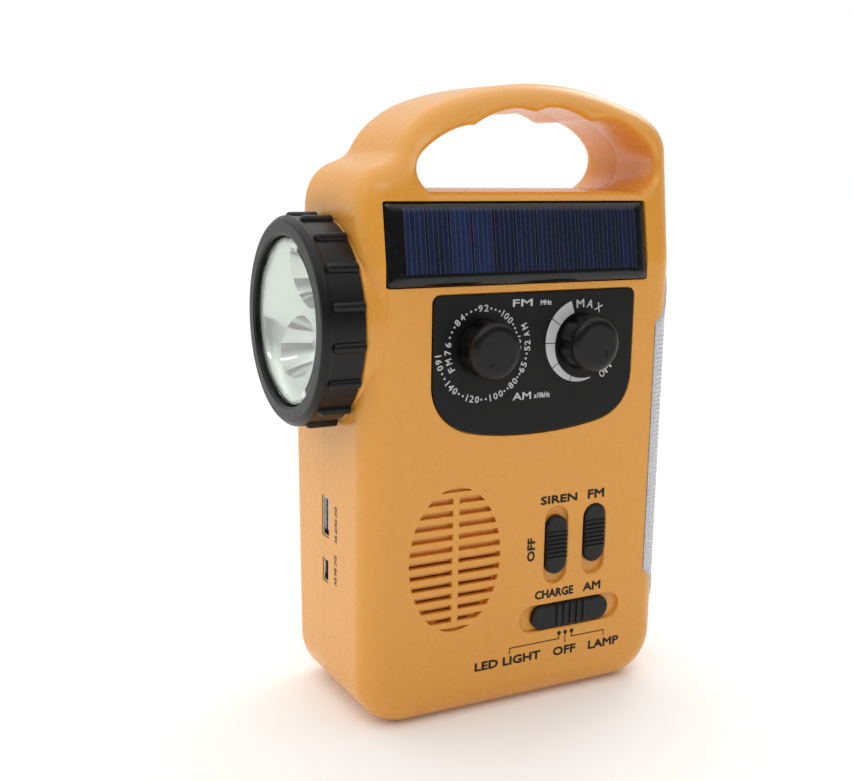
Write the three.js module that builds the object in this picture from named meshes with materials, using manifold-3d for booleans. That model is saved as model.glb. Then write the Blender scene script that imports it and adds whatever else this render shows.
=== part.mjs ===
// Emergency radio: a hand-cranked, solar-charged radio with a side torch and a side lamp.
// Millimetres. +X is to the right seen from the front, +Y goes into the radio, +Z is up.
// The origin is the middle of the flat base that the radio stands on.
import * as THREE from 'three';
import { mergeVertices } from 'three/addons/utils/BufferGeometryUtils.js';
import Module from 'manifold-3d';

const wasm = await Module();
wasm.setup();

// ---- Driving dimensions -------------------------------------------------------------------
const WIDTH = 115;               // body, left side to right side
const DEPTH = 63.9;              // body, front face to the crest of the rear face
const HEIGHT = 204.6;             // floor to the top of the handle
const WALL = 2.5;                // moulded wall
const GAP = 0.3;                 // clearance between neighbouring pieces
const EDGE_FILLET = 9;           // round of the vertical and top edges
const PARTING = 1;               // depth of the joint line between the two shells
const HALF_W = WIDTH / 2;
const FRONT_Y = -DEPTH / 2;
const REAR_Y = DEPTH / 2;
const BASE_CORNER = 16.3;        // round of the lower corners seen from the front

// The opening under the handle drifts to the right between its front mouth and the joint line.
const GRIP_MOUTH_Y = -26.5;
const GRIP_DRIFT = 4;

// The front face leans back above FRONT_KINK; the rear face falls away on both sides of REAR_KINK.
const FRONT_KINK = 148.7;
const FRONT_LEAN = 0.16;
const REAR_KINK = 97.6;
const REAR_LEAN_UP = 0.1129;
const REAR_LEAN_DOWN = 0.0426;

const TORCH = { z: 129.5, faceX: -71.9, bezelR: 32.8, frontR: 33.2, ribR: 34.3, lensR: 26.7 };
const TORCH_RIBS = 17;
const RIB_PHASE = 17.75;           // degrees from +Y to the first grip rib
const NECK_R = 29.3;             // tube that carries the bezel
const CONE_SIDE_R = 33.0;        // moulded swelling behind the bezel, at the side wall
const CONE_INNER_R = 31.5;       // and where it dies into the front face
const CONE_X = [-57.9, -46.5];
const CUP_OFFSET = 13;           // torch axis to each reflector cup
const CUP_ANGLES = [75, 195, 315];
const CUP_BACK = -49;            // back of the reflector, where the LED board sits

const PANEL = { x0: -51, x1: 44.5, z0: 142.4, z1: 167.6, lean: 0.165, thick: 3.2, proud: 2 };
const PLATE = { x0: -35.5, x1: 39.7, top: 139.5, thick: 1.2, sink: 1.0 };
const KNOB = { r: 9.2, height: 9.0, stemR: 3, z: 122.7 };
const TUNING_X = -17.9;
const VOLUME_X = 19.3;

const GRILLE = { x: -26, z: 54.4, rx: 16.7, rz: 24, rows: 11, pitch: 3.94, slot: 1.96, bar: 2.2 };
const GRILLE_POCKET = 1.8;       // depth of the grille's pockets
const GRILLE_SLIT = { firstRow: 5, high: 0.55, rx: 15.8, rz: 22 };  // openings in the lower pockets

const SWITCH_WIDE = 9;           // width of each thumb recess
const SIREN = { x: 12.5, z: 54.3, length: 27, cap: 20.4, travel: 3 };
const BAND = { x: 27.8, z: 54.4, length: 24.8, cap: 20.3, travel: 4.1, offset: 2.05 };
const FUNCTION = { x: 19.2, z: 29.3, length: 40.3, cap: 31, travel: 3 };
const RECESS = 1.5;              // depth of the thumb recesses
const CAP_PROUD = 0.8;           // how far a thumb cap stands out of the front face
const STEM_LENGTH = 5;           // thumb cap stem, along its travel

const LAMP = {
  x0: 49.5, half: 34, tip: 25, z0: 24, z1: 146.5, taperTop: 26, taperBase: 21.7, soft: 6, proud: 0.7,
};

const BOARD_Y = [-22, -20.4];    // main circuit board
const DISH = { x: 0, z: 100, r: 46, floor: 21 };   // round recess for the crank
const ARM = { y0: 21.7, y1: 28.4, reach: 34, half: 8 };
const PIN = { y: 25.3, z: DISH.z - ARM.reach };    // hinge pin of the folding grip
const GRIP_R = 4;
const GEARBOX_Y = [3.2, 5.0];    // plate that carries the gears
const GEAR_POSTS = [[-16, 75], [33, 106], [39, 64]];
const MODULE = 0.9;              // gear module
const TEETH = { drive: 50, compoundSmall: 12, compoundLarge: 40, rotor: 10 };
const MESH_SLACK = 0.12;         // added to each gear centre distance
const COMPOUND_ANGLE = -60;      // direction from crank shaft to compound axle
const ROTOR_ANGLE = 20;          // direction from compound axle to generator shaft

const DOOR = { x: 30, z0: 11, z1: 51, thick: 2 };
const CELL = { r: 7.1, length: 50, y: 17.8, z0: 14.2, pitch: 14.7 };
const BAY_MOUTH = { x: 27.2, z0: 13, z1: 49 };     // opening behind the battery door

const ANTENNA = { x: -38, z: 156, y: 26.5, length: 86 };
const ANTENNA_RADII = [3.1, 2.4, 1.7, 1.0];

const SCREWS = [[-43, 14], [43, 14], [-47.5, 80], [45, 147.6], [-46.5, 167]];

const SPEAKER_Y = FRONT_Y + WALL + 0.5;

const USB = { z: 64.2, high: 13.2, wide: 5.4, deep: 13.5 };
const DC = { z: 45.8, high: 7.6, wide: 4.2, deep: 8 };

// ---- Materials ----------------------------------------------------------------------------
function plastic(color, roughness = 0.45) {
  return new THREE.MeshStandardMaterial({ color, roughness, metalness: 0 });
}

function metal(color, roughness = 0.3) {
  return new THREE.MeshStandardMaterial({ color, roughness, metalness: 1 });
}

const ORANGE = plastic(0xf0a030, 0.42);
const BLACK = plastic(0x141416, 0.4);
const CLEAR = plastic(0xe8ecee, 0.1);
const CHROME = metal(0xd8dadc, 0.12);
const STEEL = metal(0xa8a8a8, 0.35);
const BRASS = metal(0xc8a050, 0.4);
const GREEN_BOARD = plastic(0x1f5a34, 0.5);
const NAVY = plastic(0x141b36, 0.15);
const FERRITE = plastic(0x3a3634, 0.6);
const COPPER = metal(0xb87040, 0.4);
const WHITE = plastic(0xdcdcd6, 0.5);
const PAPER = plastic(0x2a2a2a, 0.9);
const CELL_WRAP = plastic(0x3c7a4a, 0.4);

// ---- Solids: joining, cutting and placing --------------------------------------------------
function toSolid(geometry) {
  const bare = geometry.clone();
  for (const name of Object.keys(bare.attributes)) {
    if (name !== 'position') bare.deleteAttribute(name);
  }
  const merged = mergeVertices(bare, 1e-4);
  const vertProperties = new Float32Array(merged.attributes.position.array);
  const triVerts = new Uint32Array(merged.index.array);
  return new wasm.Manifold(new wasm.Mesh({ numProp: 3, vertProperties, triVerts }));
}

function toGeometry(solid) {
  const mesh = solid.getMesh();
  const geometry = new THREE.BufferGeometry();
  geometry.setAttribute('position', new THREE.BufferAttribute(new Float32Array(mesh.vertProperties), 3));
  geometry.setIndex(new THREE.BufferAttribute(new Uint32Array(mesh.triVerts), 1));
  return geometry;
}

const join = (...solids) => solids.reduce((a, b) => a.add(b));
const cut = (body, ...tools) => tools.reduce((a, b) => a.subtract(b), body);

// Frames that carry a drawing plane into the radio: the drawing's X, Y and depth become these axes.
const ALONG_X = new THREE.Matrix4().makeBasis(
  new THREE.Vector3(0, 1, 0), new THREE.Vector3(0, 0, 1), new THREE.Vector3(1, 0, 0));
const ALONG_Y = new THREE.Matrix4().makeBasis(
  new THREE.Vector3(1, 0, 0), new THREE.Vector3(0, 0, 1), new THREE.Vector3(0, -1, 0));

// An (x, z) outline run between two depths. edge rounds the ends inwards when positive and
// flares them outwards when negative, which rounds the rim of a hole cut with the result.
function frontExtrude(shape, y0, y1, edge = 0, steps = 3, curveSegments = 5) {
  const r = Math.abs(edge);
  const bevel = edge > 0
    ? { bevelSize: r, bevelOffset: -r }
    : { bevelSize: -r, bevelOffset: r };
  const geometry = new THREE.ExtrudeGeometry(shape, {
    depth: y1 - y0 - 2 * r, steps: 1, curveSegments,
    bevelEnabled: r > 0, bevelThickness: r, bevelSegments: steps, ...bevel,
  });
  geometry.applyMatrix4(ALONG_Y);
  geometry.translate(0, y1 - r, 0);
  return toSolid(geometry);
}

// A (y, z) outline run between two values of x.
function sideExtrude(shape, x0, x1, curveSegments = 6) {
  const geometry = new THREE.ExtrudeGeometry(shape, {
    depth: x1 - x0, steps: 1, curveSegments, bevelEnabled: false,
  });
  geometry.applyMatrix4(ALONG_X);
  geometry.translate(x0, 0, 0);
  return toSolid(geometry);
}

function box(x0, x1, y0, y1, z0, z1) {
  const geometry = new THREE.BoxGeometry(x1 - x0, y1 - y0, z1 - z0);
  geometry.translate((x0 + x1) / 2, (y0 + y1) / 2, (z0 + z1) / 2);
  return toSolid(geometry);
}

// A turned solid. profile is a list of [radius, distance]; the axis starts at centre and points
// along the named axis, so a distance is measured that way.
function turned(profile, axis, centre, segments = 24) {
  const points = profile.map(([r, d]) => new THREE.Vector2(r, d));
  const geometry = new THREE.LatheGeometry(points, segments);
  if (axis === 'x') geometry.rotateZ(-Math.PI / 2);
  if (axis === 'z') geometry.rotateX(Math.PI / 2);
  geometry.translate(...centre);
  const solid = toSolid(geometry);
  return solid.volume() < 0 ? toSolid(flipped(geometry)) : solid;
}

function flipped(geometry) {
  const copy = geometry.clone();
  const index = Array.from(copy.index.array);
  for (let i = 0; i < index.length; i += 3) {
    [index[i], index[i + 1]] = [index[i + 1], index[i]];
  }
  copy.setIndex(index);
  return copy;
}

function rod(radius, axis, centre, d0, d1, segments = 20) {
  return turned([[0, d0], [radius, d0], [radius, d1], [0, d1]], axis, centre, segments);
}

function tube(outer, inner, axis, centre, d0, d1, segments = 24) {
  return turned(
    [[inner, d0], [outer, d0], [outer, d1], [inner, d1], [inner, d0]], axis, centre, segments);
}

// Moves every point of a solid by the given rule, which keeps flat faces flat.
function reshaped(solid, move) {
  const geometry = toGeometry(solid);
  const position = geometry.attributes.position;
  const point = new THREE.Vector3();
  for (let i = 0; i < position.count; i += 1) {
    point.fromBufferAttribute(position, i);
    move(point);
    position.setXYZ(i, point.x, point.y, point.z);
  }
  return toSolid(geometry);
}

function stadium(x, z, length, wide, upright) {
  const shape = new THREE.Shape();
  const r = wide / 2;
  const half = length / 2 - r;
  if (upright) {
    shape.absarc(x, z + half, r, 0, Math.PI, false);
    shape.absarc(x, z - half, r, Math.PI, 2 * Math.PI, false);
  } else {
    shape.absarc(x + half, z, r, -Math.PI / 2, Math.PI / 2, false);
    shape.absarc(x - half, z, r, Math.PI / 2, 1.5 * Math.PI, false);
  }
  return shape;
}

function roundedRect(x0, x1, z0, z1, r) {
  const shape = new THREE.Shape();
  shape.absarc(x1 - r, z0 + r, r, -Math.PI / 2, 0, false);
  shape.absarc(x1 - r, z1 - r, r, 0, Math.PI / 2, false);
  shape.absarc(x0 + r, z1 - r, r, Math.PI / 2, Math.PI, false);
  shape.absarc(x0 + r, z0 + r, r, Math.PI, 1.5 * Math.PI, false);
  return shape;
}

// ---- Outlines of the body ------------------------------------------------------------------
// The body seen from the front: square-shouldered on the right, with a low shoulder and a
// notch on the left where the handle rises.
function bodyOutline() {
  const shape = new THREE.Shape();
  const left = -HALF_W;
  const right = HALF_W;
  shape.moveTo(left + BASE_CORNER, 0);
  shape.lineTo(right - BASE_CORNER, 0);
  shape.absarc(right - BASE_CORNER, BASE_CORNER, BASE_CORNER, -Math.PI / 2, 0, false);
  shape.lineTo(right, 150);
  shape.lineTo(right + 0.9, 184);
  shape.bezierCurveTo(right + 1.1, 190.8, right - 4.2, 195.3, right - 12, 198);
  shape.bezierCurveTo(34, 202, 24, HEIGHT, 10, HEIGHT);
  shape.bezierCurveTo(-3, HEIGHT, -24, 201.1, -33, 194.4);
  shape.bezierCurveTo(-38.7, 190.5, -40.8, 186.7, -42.5, 183.4);
  shape.bezierCurveTo(-44, 180.7, -46.5, 179.8, -49.4, 178.8);
  shape.bezierCurveTo(-54.1, 177, left - 0.1, 172.4, left, 165);
  shape.lineTo(left, 150);
  shape.lineTo(left, BASE_CORNER);
  shape.absarc(left + BASE_CORNER, BASE_CORNER, BASE_CORNER, Math.PI, 1.5 * Math.PI, false);
  return shape;
}

// The opening under the handle, with three finger scallops along its top.
function gripOutline(grow = 0) {
  const shape = new THREE.Shape();
  const floor = 170.7 - grow;
  shape.moveTo(-34.1 - 0.3 * grow, floor);
  shape.bezierCurveTo(-38.5 - grow, 173.6, -40 - grow, 178.6, -35.5 - grow * 0.7, 182.8 + grow * 0.6);
  shape.bezierCurveTo(-30, 187.6 + grow, -22.5, 190.9 + grow, -17.2, 190.9 + grow);
  shape.bezierCurveTo(-14.5, 192.6 + grow, -8, 196.3 + grow, 0, 196.3 + grow);
  shape.bezierCurveTo(2.2, 196.2 + grow, 4.2, 195.4 + grow, 5.6, 195.5 + grow);
  shape.bezierCurveTo(11, 197.9 + grow, 17.5, 197.4 + grow, 24.6, 193.7 + grow);
  shape.bezierCurveTo(27.2, 192.7 + grow, 30.5, 194 + grow, 34, 193.8 + grow);
  shape.bezierCurveTo(39.5, 193.2 + grow, 50.6 + grow, 186.6 + grow, 50.6 + grow, 180);
  shape.bezierCurveTo(50.6 + grow, 175.6, 47.6 + grow, 172.3, 44.2 + 0.3 * grow, floor);
  return shape;
}

// The control plate: square at the top, with a bowed lower edge between two big corners.
function plateOutline(inset = 0) {
  const { x0, x1, top } = PLATE;
  const r = 2;
  const [a, b, t] = [x0 + inset, x1 - inset, top - inset];
  const shape = new THREE.Shape();
  shape.moveTo(a, t - r);
  shape.lineTo(a, 112);
  shape.bezierCurveTo(a, 104, -30 + inset, 97.4 + inset, -21, 95.7 + inset);
  shape.bezierCurveTo(-8, 92.9 + inset, 12, 93 + inset, 27, 96.2 + inset);
  shape.bezierCurveTo(36, 98.4 + inset, b, 104, b, 113);
  shape.lineTo(b, t - r);
  shape.absarc(b - r, t - r, r, 0, Math.PI / 2, false);
  shape.absarc(a + r, t - r, r, Math.PI / 2, Math.PI, false);
  return shape;
}

const frontShift = (z) => Math.max(0, z - FRONT_KINK) * FRONT_LEAN;
const rearShift = (z) => -Math.max(0, z - REAR_KINK) * REAR_LEAN_UP
  - Math.max(0, REAR_KINK - z) * REAR_LEAN_DOWN;
const rearSurface = (z) => REAR_Y + rearShift(z);

// Gives an upright block the leans of the front and rear faces, one straight band at a time.
function leaned(solid) {
  const bands = [[-20, REAR_KINK], [REAR_KINK, FRONT_KINK], [FRONT_KINK, 240]];
  return join(...bands.map(([z0, z1]) => {
    const band = solid.intersect(box(-100, 100, -60, 60, z0, z1));
    return reshaped(band, (p) => {
      p.y += p.y < 0 ? frontShift(p.z) : rearShift(p.z);
    });
  }));
}

const torchAxis = [0, 0, TORCH.z];

// ---- Housing -------------------------------------------------------------------------------
function torchSwelling(shrink = 0) {
  const [x0, x1] = CONE_X;
  return turned([
    [0, 0], [CONE_SIDE_R - shrink, 0], [CONE_INNER_R - shrink, x1 - x0], [0, x1 - x0],
  ], 'x', [x0 + (shrink > 0 ? WALL : 0), 0, TORCH.z], 36);
}

function outerBlock() {
  const block = leaned(frontExtrude(bodyOutline(), FRONT_Y, REAR_Y, EDGE_FILLET, 3, 5));
  return join(block, torchSwelling());
}

// The lamp window seen from the side, grown by a margin: an upright slot with tapered ends.
function lampRegion(margin) {
  const { taperTop, taperBase, soft } = LAMP;
  const [a, t] = [LAMP.half + margin, LAMP.tip + margin];
  const [c, d] = [LAMP.z0 - margin, LAMP.z1 + margin];
  const corners = [
    [a, c + taperBase], [a, d - taperTop], [t, d], [-t, d],
    [-a, d - taperTop], [-a, c + taperBase], [-t, c], [t, c],
  ].map(([y, z]) => new THREE.Vector2(y, z));
  const shape = new THREE.Shape();
  corners.forEach((here, i) => {
    const near = (other) => other.clone().sub(here).setLength(soft).add(here);
    const [enter, leave] = [near(corners[(i + 7) % 8]), near(corners[(i + 1) % 8])];
    if (i === 0) shape.moveTo(enter.x, enter.y);
    else shape.lineTo(enter.x, enter.y);
    shape.quadraticCurveTo(here.x, here.y, leave.x, leave.y);
  });
  return sideExtrude(shape, LAMP.x0 - margin, HALF_W + 6, 4);
}

function insideBlock() {
  const scale = (HALF_W - WALL) / HALF_W;
  const inset = reshaped(
    frontExtrude(bodyOutline(), FRONT_Y + WALL, REAR_Y - WALL, EDGE_FILLET - WALL, 2, 3),
    (p) => {
      p.x *= scale;
      p.z = WALL + p.z * (HEIGHT - 2 * WALL) / HEIGHT;
    });
  const grip = gripOpening(WALL, 0, 0);
  const swelling = torchSwelling(WALL);
  return join(cut(leaned(inset), grip), swelling);
}

const ovalShape = (rx, rz) => new THREE.Shape().absellipse(
  GRILLE.x, GRILLE.z, rx, rz, 0, 2 * Math.PI, false, 0);

// One run of grille cells, two to a row, trimmed to an oval.
function grilleCells(firstRow, high, depth, rx, rz) {
  const { x, z, rows, pitch, slot, bar } = GRILLE;
  const area = frontExtrude(ovalShape(rx, rz), FRONT_Y - 2, FRONT_Y + 8, 0, 3, 28);
  const cells = [];
  for (let row = firstRow; row < rows; row += 1) {
    const base = z + pitch * (rows / 2 - 0.5 - row) - slot / 2;
    for (const side of [-1, 1]) {
      const inner = x + side * bar / 2;
      const outer = x + side * (GRILLE.rx + 2);
      cells.push(box(
        Math.min(inner, outer), Math.max(inner, outer), FRONT_Y - 1, FRONT_Y + depth, base, base + high));
    }
  }
  return area.intersect(join(...cells));
}

// Shallow pockets in every row, and a narrow slit through the wall in the lower ones.
function grilleOpenings() {
  const { firstRow, high, rx, rz } = GRILLE_SLIT;
  return join(
    grilleCells(0, GRILLE.slot, GRILLE_POCKET, GRILLE.rx, GRILLE.rz),
    grilleCells(firstRow, high, WALL + 1, rx, rz));
}

// The two thin crescents that close the oval above and below the pockets.
function grilleCrescents() {
  const { x, z, rz, rx, rows, pitch } = GRILLE;
  const reach = pitch * rows / 2 + 0.9;
  const area = frontExtrude(ovalShape(rx, rz), FRONT_Y - 2, FRONT_Y + 1.2, 0, 3, 28);
  const above = box(x - rx, x + rx, FRONT_Y - 1, FRONT_Y + 3, z + reach, z + rz + 2);
  const below = box(x - rx, x + rx, FRONT_Y - 1, FRONT_Y + 3, z - rz - 2, z - reach);
  return area.intersect(join(above, below));
}

function panelPocket(margin, floor) {
  const { x0, x1, z0, z1, lean } = PANEL;
  const block = box(x0 - margin, x1 + margin, FRONT_Y - 6, FRONT_Y + floor, z0 - margin, z1 + margin);
  return reshaped(block, (p) => {
    if (p.y > FRONT_Y) p.y += lean * (p.z - z0);
  });
}

function thumbRecess({ x, z, length }, upright, stem, travel) {
  const recess = frontExtrude(
    stadium(x, z, length, SWITCH_WIDE, upright), FRONT_Y - 2, FRONT_Y + RECESS, 0, 3, 6);
  const reach = stem / 2 + travel + GAP;
  const across = 1.5 + GAP;
  const slot = upright
    ? box(x - across, x + across, FRONT_Y, FRONT_Y + 5, z - reach, z + reach)
    : box(x - reach, x + reach, FRONT_Y, FRONT_Y + 5, z - across, z + across);
  return join(recess, slot);
}


function frontOpenings() {
  const plate = frontExtrude(plateOutline(-GAP), FRONT_Y - 3, FRONT_Y + PLATE.sink, 0, 3, 8);
  const shaftHoles = [TUNING_X, VOLUME_X].map(
    (x) => rod(KNOB.stemR + 0.6, 'y', [x, 0, KNOB.z], FRONT_Y - 2, FRONT_Y + 5, 16));
  return [
    plate, ...shaftHoles, grilleOpenings(), grilleCrescents(), panelPocket(GAP, PANEL.thick + 0.2),
    thumbRecess(SIREN, true, STEM_LENGTH, SIREN.travel),
    thumbRecess(BAND, true, STEM_LENGTH, BAND.travel / 2),
    thumbRecess(FUNCTION, false, STEM_LENGTH, FUNCTION.travel),
  ];
}

// The opening under the handle, split at the joint line, with its rims rounded over on request.
function gripOpening(grow, frontRim, rearRim) {
  const slope = GRIP_DRIFT / (PARTING - GRIP_MOUTH_Y);
  const front = reshaped(frontExtrude(gripOutline(grow), FRONT_Y - 0.05, 60, -frontRim, 2, 3), (p) => {
    p.y += FRONT_LEAN * (p.z - FRONT_KINK);
    p.x += slope * (p.y - GRIP_MOUTH_Y);
  });
  const rear = reshaped(frontExtrude(gripOutline(grow), -60, REAR_Y + 0.05, -rearRim, 2, 3), (p) => {
    p.y += -REAR_LEAN_UP * (p.z - REAR_KINK);
    p.x += GRIP_DRIFT;
  });
  return join(
    front.intersect(box(-100, 100, -60, PARTING + GAP, 120, 240)),
    rear.intersect(box(-100, 100, PARTING + GAP, 60, 120, 240)));
}

function sockets(margin) {
  const hole = ({ z, high, wide }) => box(
    -HALF_W - 3, -HALF_W + 6, -wide / 2 - margin, wide / 2 + margin,
    z - high / 2 - margin, z + high / 2 + margin);
  return [hole(USB), hole(DC)];
}

function slopedSlab(x, z0, z1, yNear, yFar) {
  const block = box(-x, x, 0, 1, z0, z1);
  return reshaped(block, (p) => {
    p.y = rearSurface(p.z) - (p.y > 0.5 ? yNear : yFar);
  });
}

function batteryBay() {
  const reach = CELL.length / 2 + 3.4;
  const top = CELL.z0 + 2 * CELL.pitch + CELL.r + 0.6;
  const { x, z0, z1 } = BAY_MOUTH;
  const room = box(
    -reach, reach, CELL.y - CELL.r - 0.6, CELL.y + CELL.r + 0.2, CELL.z0 - CELL.r - 0.6, top);
  const inner = join(room, box(-x, x, CELL.y, REAR_Y + 8, z0, z1));
  const outer = box(-reach - 1.6, reach + 1.6, CELL.y - CELL.r - 2.2, REAR_Y - 2.4, 2, top + 1.6);
  return { inner, outer };
}

function housingShells() {
  const outer = outerBlock();
  const inside = insideBlock();
  const neck = rod(NECK_R, 'x', torchAxis, TORCH.faceX + 4.8, -HALF_W + 1, 36);
  const neckBore = rod(NECK_R - 1.6, 'x', torchAxis, TORCH.faceX, -44, 36);
  const bay = batteryBay();
  const dishPocket = rod(DISH.r, 'y', [DISH.x, 0, DISH.z], DISH.floor, 60, 40);
  const dishWall = rod(DISH.r + 2, 'y', [DISH.x, 0, DISH.z], DISH.floor - 2.4, 60, 40).intersect(outer);
  const backing = reshaped(
    box(PANEL.x0 - 2, PANEL.x1 + 2, FRONT_Y + 1, FRONT_Y + PANEL.thick + 2.2, PANEL.z0 - 2, PANEL.z1 + 1),
    (p) => {
      if (p.y > FRONT_Y + 2) p.y += PANEL.lean * (p.z - PANEL.z0);
    }).intersect(outer);
  const posts = GEAR_POSTS.map(([x, z]) => rod(3, 'y', [x, 0, z], GEARBOX_Y[1] + GAP, REAR_Y, 12));
  const bosses = SCREWS.map(([x, z]) => rod(3.6, 'y', [x, 0, z], -30, 30, 16));
  const block = join(outer, neck);
  let shell = cut(block, inside);
  shell = join(shell, dishWall, backing, ...bosses.map((b) => b.intersect(outer)));
  shell = join(shell, ...posts.map((p) => p.intersect(outer)), bay.outer.intersect(outer));
  const lampWindow = cut(lampRegion(GAP), box(0, HALF_W - 9.3, -60, 60, 0, 200));
  shell = cut(
    shell, neckBore, dishPocket, bay.inner, lampWindow, gripOpening(0, 3.5, 6), ...sockets(GAP));
  shell = cut(shell, ...frontOpenings());
  const front = shell.intersect(box(-100, 100, -60, PARTING, -5, 240));
  const rear = shell.intersect(box(-100, 100, PARTING + GAP, 60, -5, 240));
  return { front, rear };
}

function frontHousing(shell) {
  const pilots = SCREWS.map(([x, z]) => rod(1.5, 'y', [x, 0, z], -14, PARTING + 1, 10));
  return cut(shell, ...pilots);
}

function rearHousing(shell) {
  const doorSeat = slopedSlab(DOOR.x + GAP, DOOR.z0 - GAP, DOOR.z1 + GAP, -3, DOOR.thick + GAP);
  const through = SCREWS.map(([x, z]) => rod(1.7, 'y', [x, 0, z], -2, 60, 10));
  const heads = SCREWS.map(([x, z]) => rod(3.1, 'y', [x, 0, z], rearSurface(z) - 7, 60, 12));
  const shaftHole = rod(3.4, 'y', [DISH.x, 0, DISH.z], 10, 30, 16);
  const postPilots = GEAR_POSTS.map(([x, z]) => rod(1.3, 'y', [x, 0, z], 0, 16, 8));
  const groove = rod(ANTENNA_RADII[0] + 0.7, 'x', [0, ANTENNA.y, ANTENNA.z], ANTENNA.x - 7, 54, 16);
  const pocket = rod(8.4, 'y', [ANTENNA.x - 3, 0, ANTENNA.z], ANTENNA.y - 4.6, 60, 24);
  return cut(shell, doorSeat, ...through, ...heads, shaftHole, ...postPilots, groove, pocket);
}

// ---- Front face pieces ---------------------------------------------------------------------
function solarPanel() {
  const { x0, x1, z0, z1, lean, thick, proud } = PANEL;
  const outline = roundedRect(x0, x1, z0, z1, 1.2);
  const upright = frontExtrude(outline, FRONT_Y - proud, FRONT_Y + thick, 0, 1, 1);
  const rim = frontExtrude(outline, FRONT_Y - proud, FRONT_Y + 20, 1.1, 2, 1);
  return reshaped(upright.intersect(rim), (p) => {
    p.y += lean * (p.z - z0);
  });
}

function controlPlate() {
  const face = FRONT_Y + PLATE.sink - GAP / 2 - PLATE.thick;
  const plate = frontExtrude(plateOutline(), face, face + PLATE.thick, 0, 1, 8);
  const holes = [TUNING_X, VOLUME_X].map(
    (x) => rod(KNOB.stemR + 0.6, 'y', [x, 0, KNOB.z], face - 1, face + 3, 16));
  return cut(plate, ...holes);
}

const KNOB_BACK = FRONT_Y + PLATE.sink - GAP / 2 - PLATE.thick - GAP;

// A knob: a round top with six shallow finger scallops, and a stem that goes into the works.
function knob(x) {
  const { r, height, stemR, z } = KNOB;
  const points = [];
  for (let i = 0; i < 48; i += 1) {
    const a = 2 * Math.PI * i / 48;
    const scallop = Math.max(0, Math.cos(6 * a)) ** 2 * 0.9;
    points.push(new THREE.Vector2(x + (r - scallop) * Math.cos(a), z + (r - scallop) * Math.sin(a)));
  }
  const grip = frontExtrude(new THREE.Shape(points), KNOB_BACK - height, KNOB_BACK + 3, 1.2, 2, 1)
    .intersect(box(x - 20, x + 20, KNOB_BACK - height - 1, KNOB_BACK, z - 20, z + 20));
  const stem = rod(stemR, 'y', [x, 0, z], KNOB_BACK - 1, BOARD_Y[0] - 2, 16);
  return join(grip, stem);
}

// A thumb cap with cross ribs and a stem through the front wall.
function thumbCap({ x, z, cap }, upright) {
  const under = FRONT_Y + RECESS - GAP;
  const face = FRONT_Y - CAP_PROUD;
  const body = frontExtrude(stadium(x, z, cap, SWITCH_WIDE - 0.7, upright), face, under + 2, 0.6, 1, 5)
    .intersect(box(x - 30, x + 30, face - 1, under, z - 30, z + 30));
  const ribs = [-2, -1, 0, 1, 2].map((i) => {
    const s = i * 1.9;
    const w = SWITCH_WIDE / 2 - 0.8;
    return upright
      ? box(x - w, x + w, face - 0.5, face + 0.3, z + s - 0.45, z + s + 0.45)
      : box(x + s - 0.45, x + s + 0.45, face - 0.5, face + 0.3, z - w, z + w);
  });
  const h = STEM_LENGTH / 2;
  const stem = upright
    ? box(x - 1.5, x + 1.5, under - 1, -25, z - h, z + h)
    : box(x - h, x + h, under - 1, -25, z - 1.5, z + 1.5);
  return join(body, ...ribs, stem);
}

const switchCap = {
  siren: () => thumbCap(SIREN, true),
  band: () => thumbCap({ ...BAND, z: BAND.z + BAND.offset }, true),
  lights: () => thumbCap(FUNCTION, false),
};

function switchBody({ x, z }, travel, upright) {
  const long = STEM_LENGTH / 2 + travel + 3;
  const reach = STEM_LENGTH / 2 + travel + GAP;
  const y0 = FRONT_Y + WALL + GAP;
  const y1 = BOARD_Y[0] - GAP;
  const across = 3.6;
  return upright
    ? cut(box(x - across, x + across, y0, y1, z - long, z + long),
      box(x - 1.8, x + 1.8, y0 - 1, -24, z - reach, z + reach))
    : cut(box(x - long, x + long, y0, y1, z - across, z + across),
      box(x - reach, x + reach, y0 - 1, -24, z - 1.8, z + 1.8));
}

// ---- Torch ---------------------------------------------------------------------------------
function torchBezel() {
  const { faceX, bezelR, frontR, ribR, lensR } = TORCH;
  const back = CONE_X[0] - GAP;
  const ring = turned([
    [lensR, faceX + 0.6], [lensR + 1.2, faceX], [frontR - 1.4, faceX], [frontR, faceX + 1.4],
    [bezelR, faceX + 3.2], [bezelR, back], [NECK_R + 0.4, back], [NECK_R + 0.4, faceX + 4.2],
    [lensR, faceX + 1.7], [lensR, faceX + 0.6],
  ], 'x', torchAxis, 40);
  const ribs = [];
  for (let i = 0; i < TORCH_RIBS; i += 1) {
    const a = THREE.MathUtils.degToRad(RIB_PHASE + 360 * i / TORCH_RIBS);
    const centre = [0, (ribR - 1.6) * Math.cos(a), TORCH.z + (ribR - 1.6) * Math.sin(a)];
    ribs.push(turned([
      [0, faceX + 2.6], [1.6, faceX + 3.4], [1.6, back], [0, back],
    ], 'x', centre, 8));
  }
  const bore = rod(NECK_R + 0.4, 'x', torchAxis, faceX + 4.2, back + 1, 40);
  return cut(join(ring, ...ribs), bore);
}

function torchLens() {
  const x = TORCH.faceX;
  return turned([[0, x + 1.9], [24, x + 2.0], [27.2, x + 2.6], [27.2, x + 4.2], [0, x + 4.2]],
    'x', torchAxis, 36);
}

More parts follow.
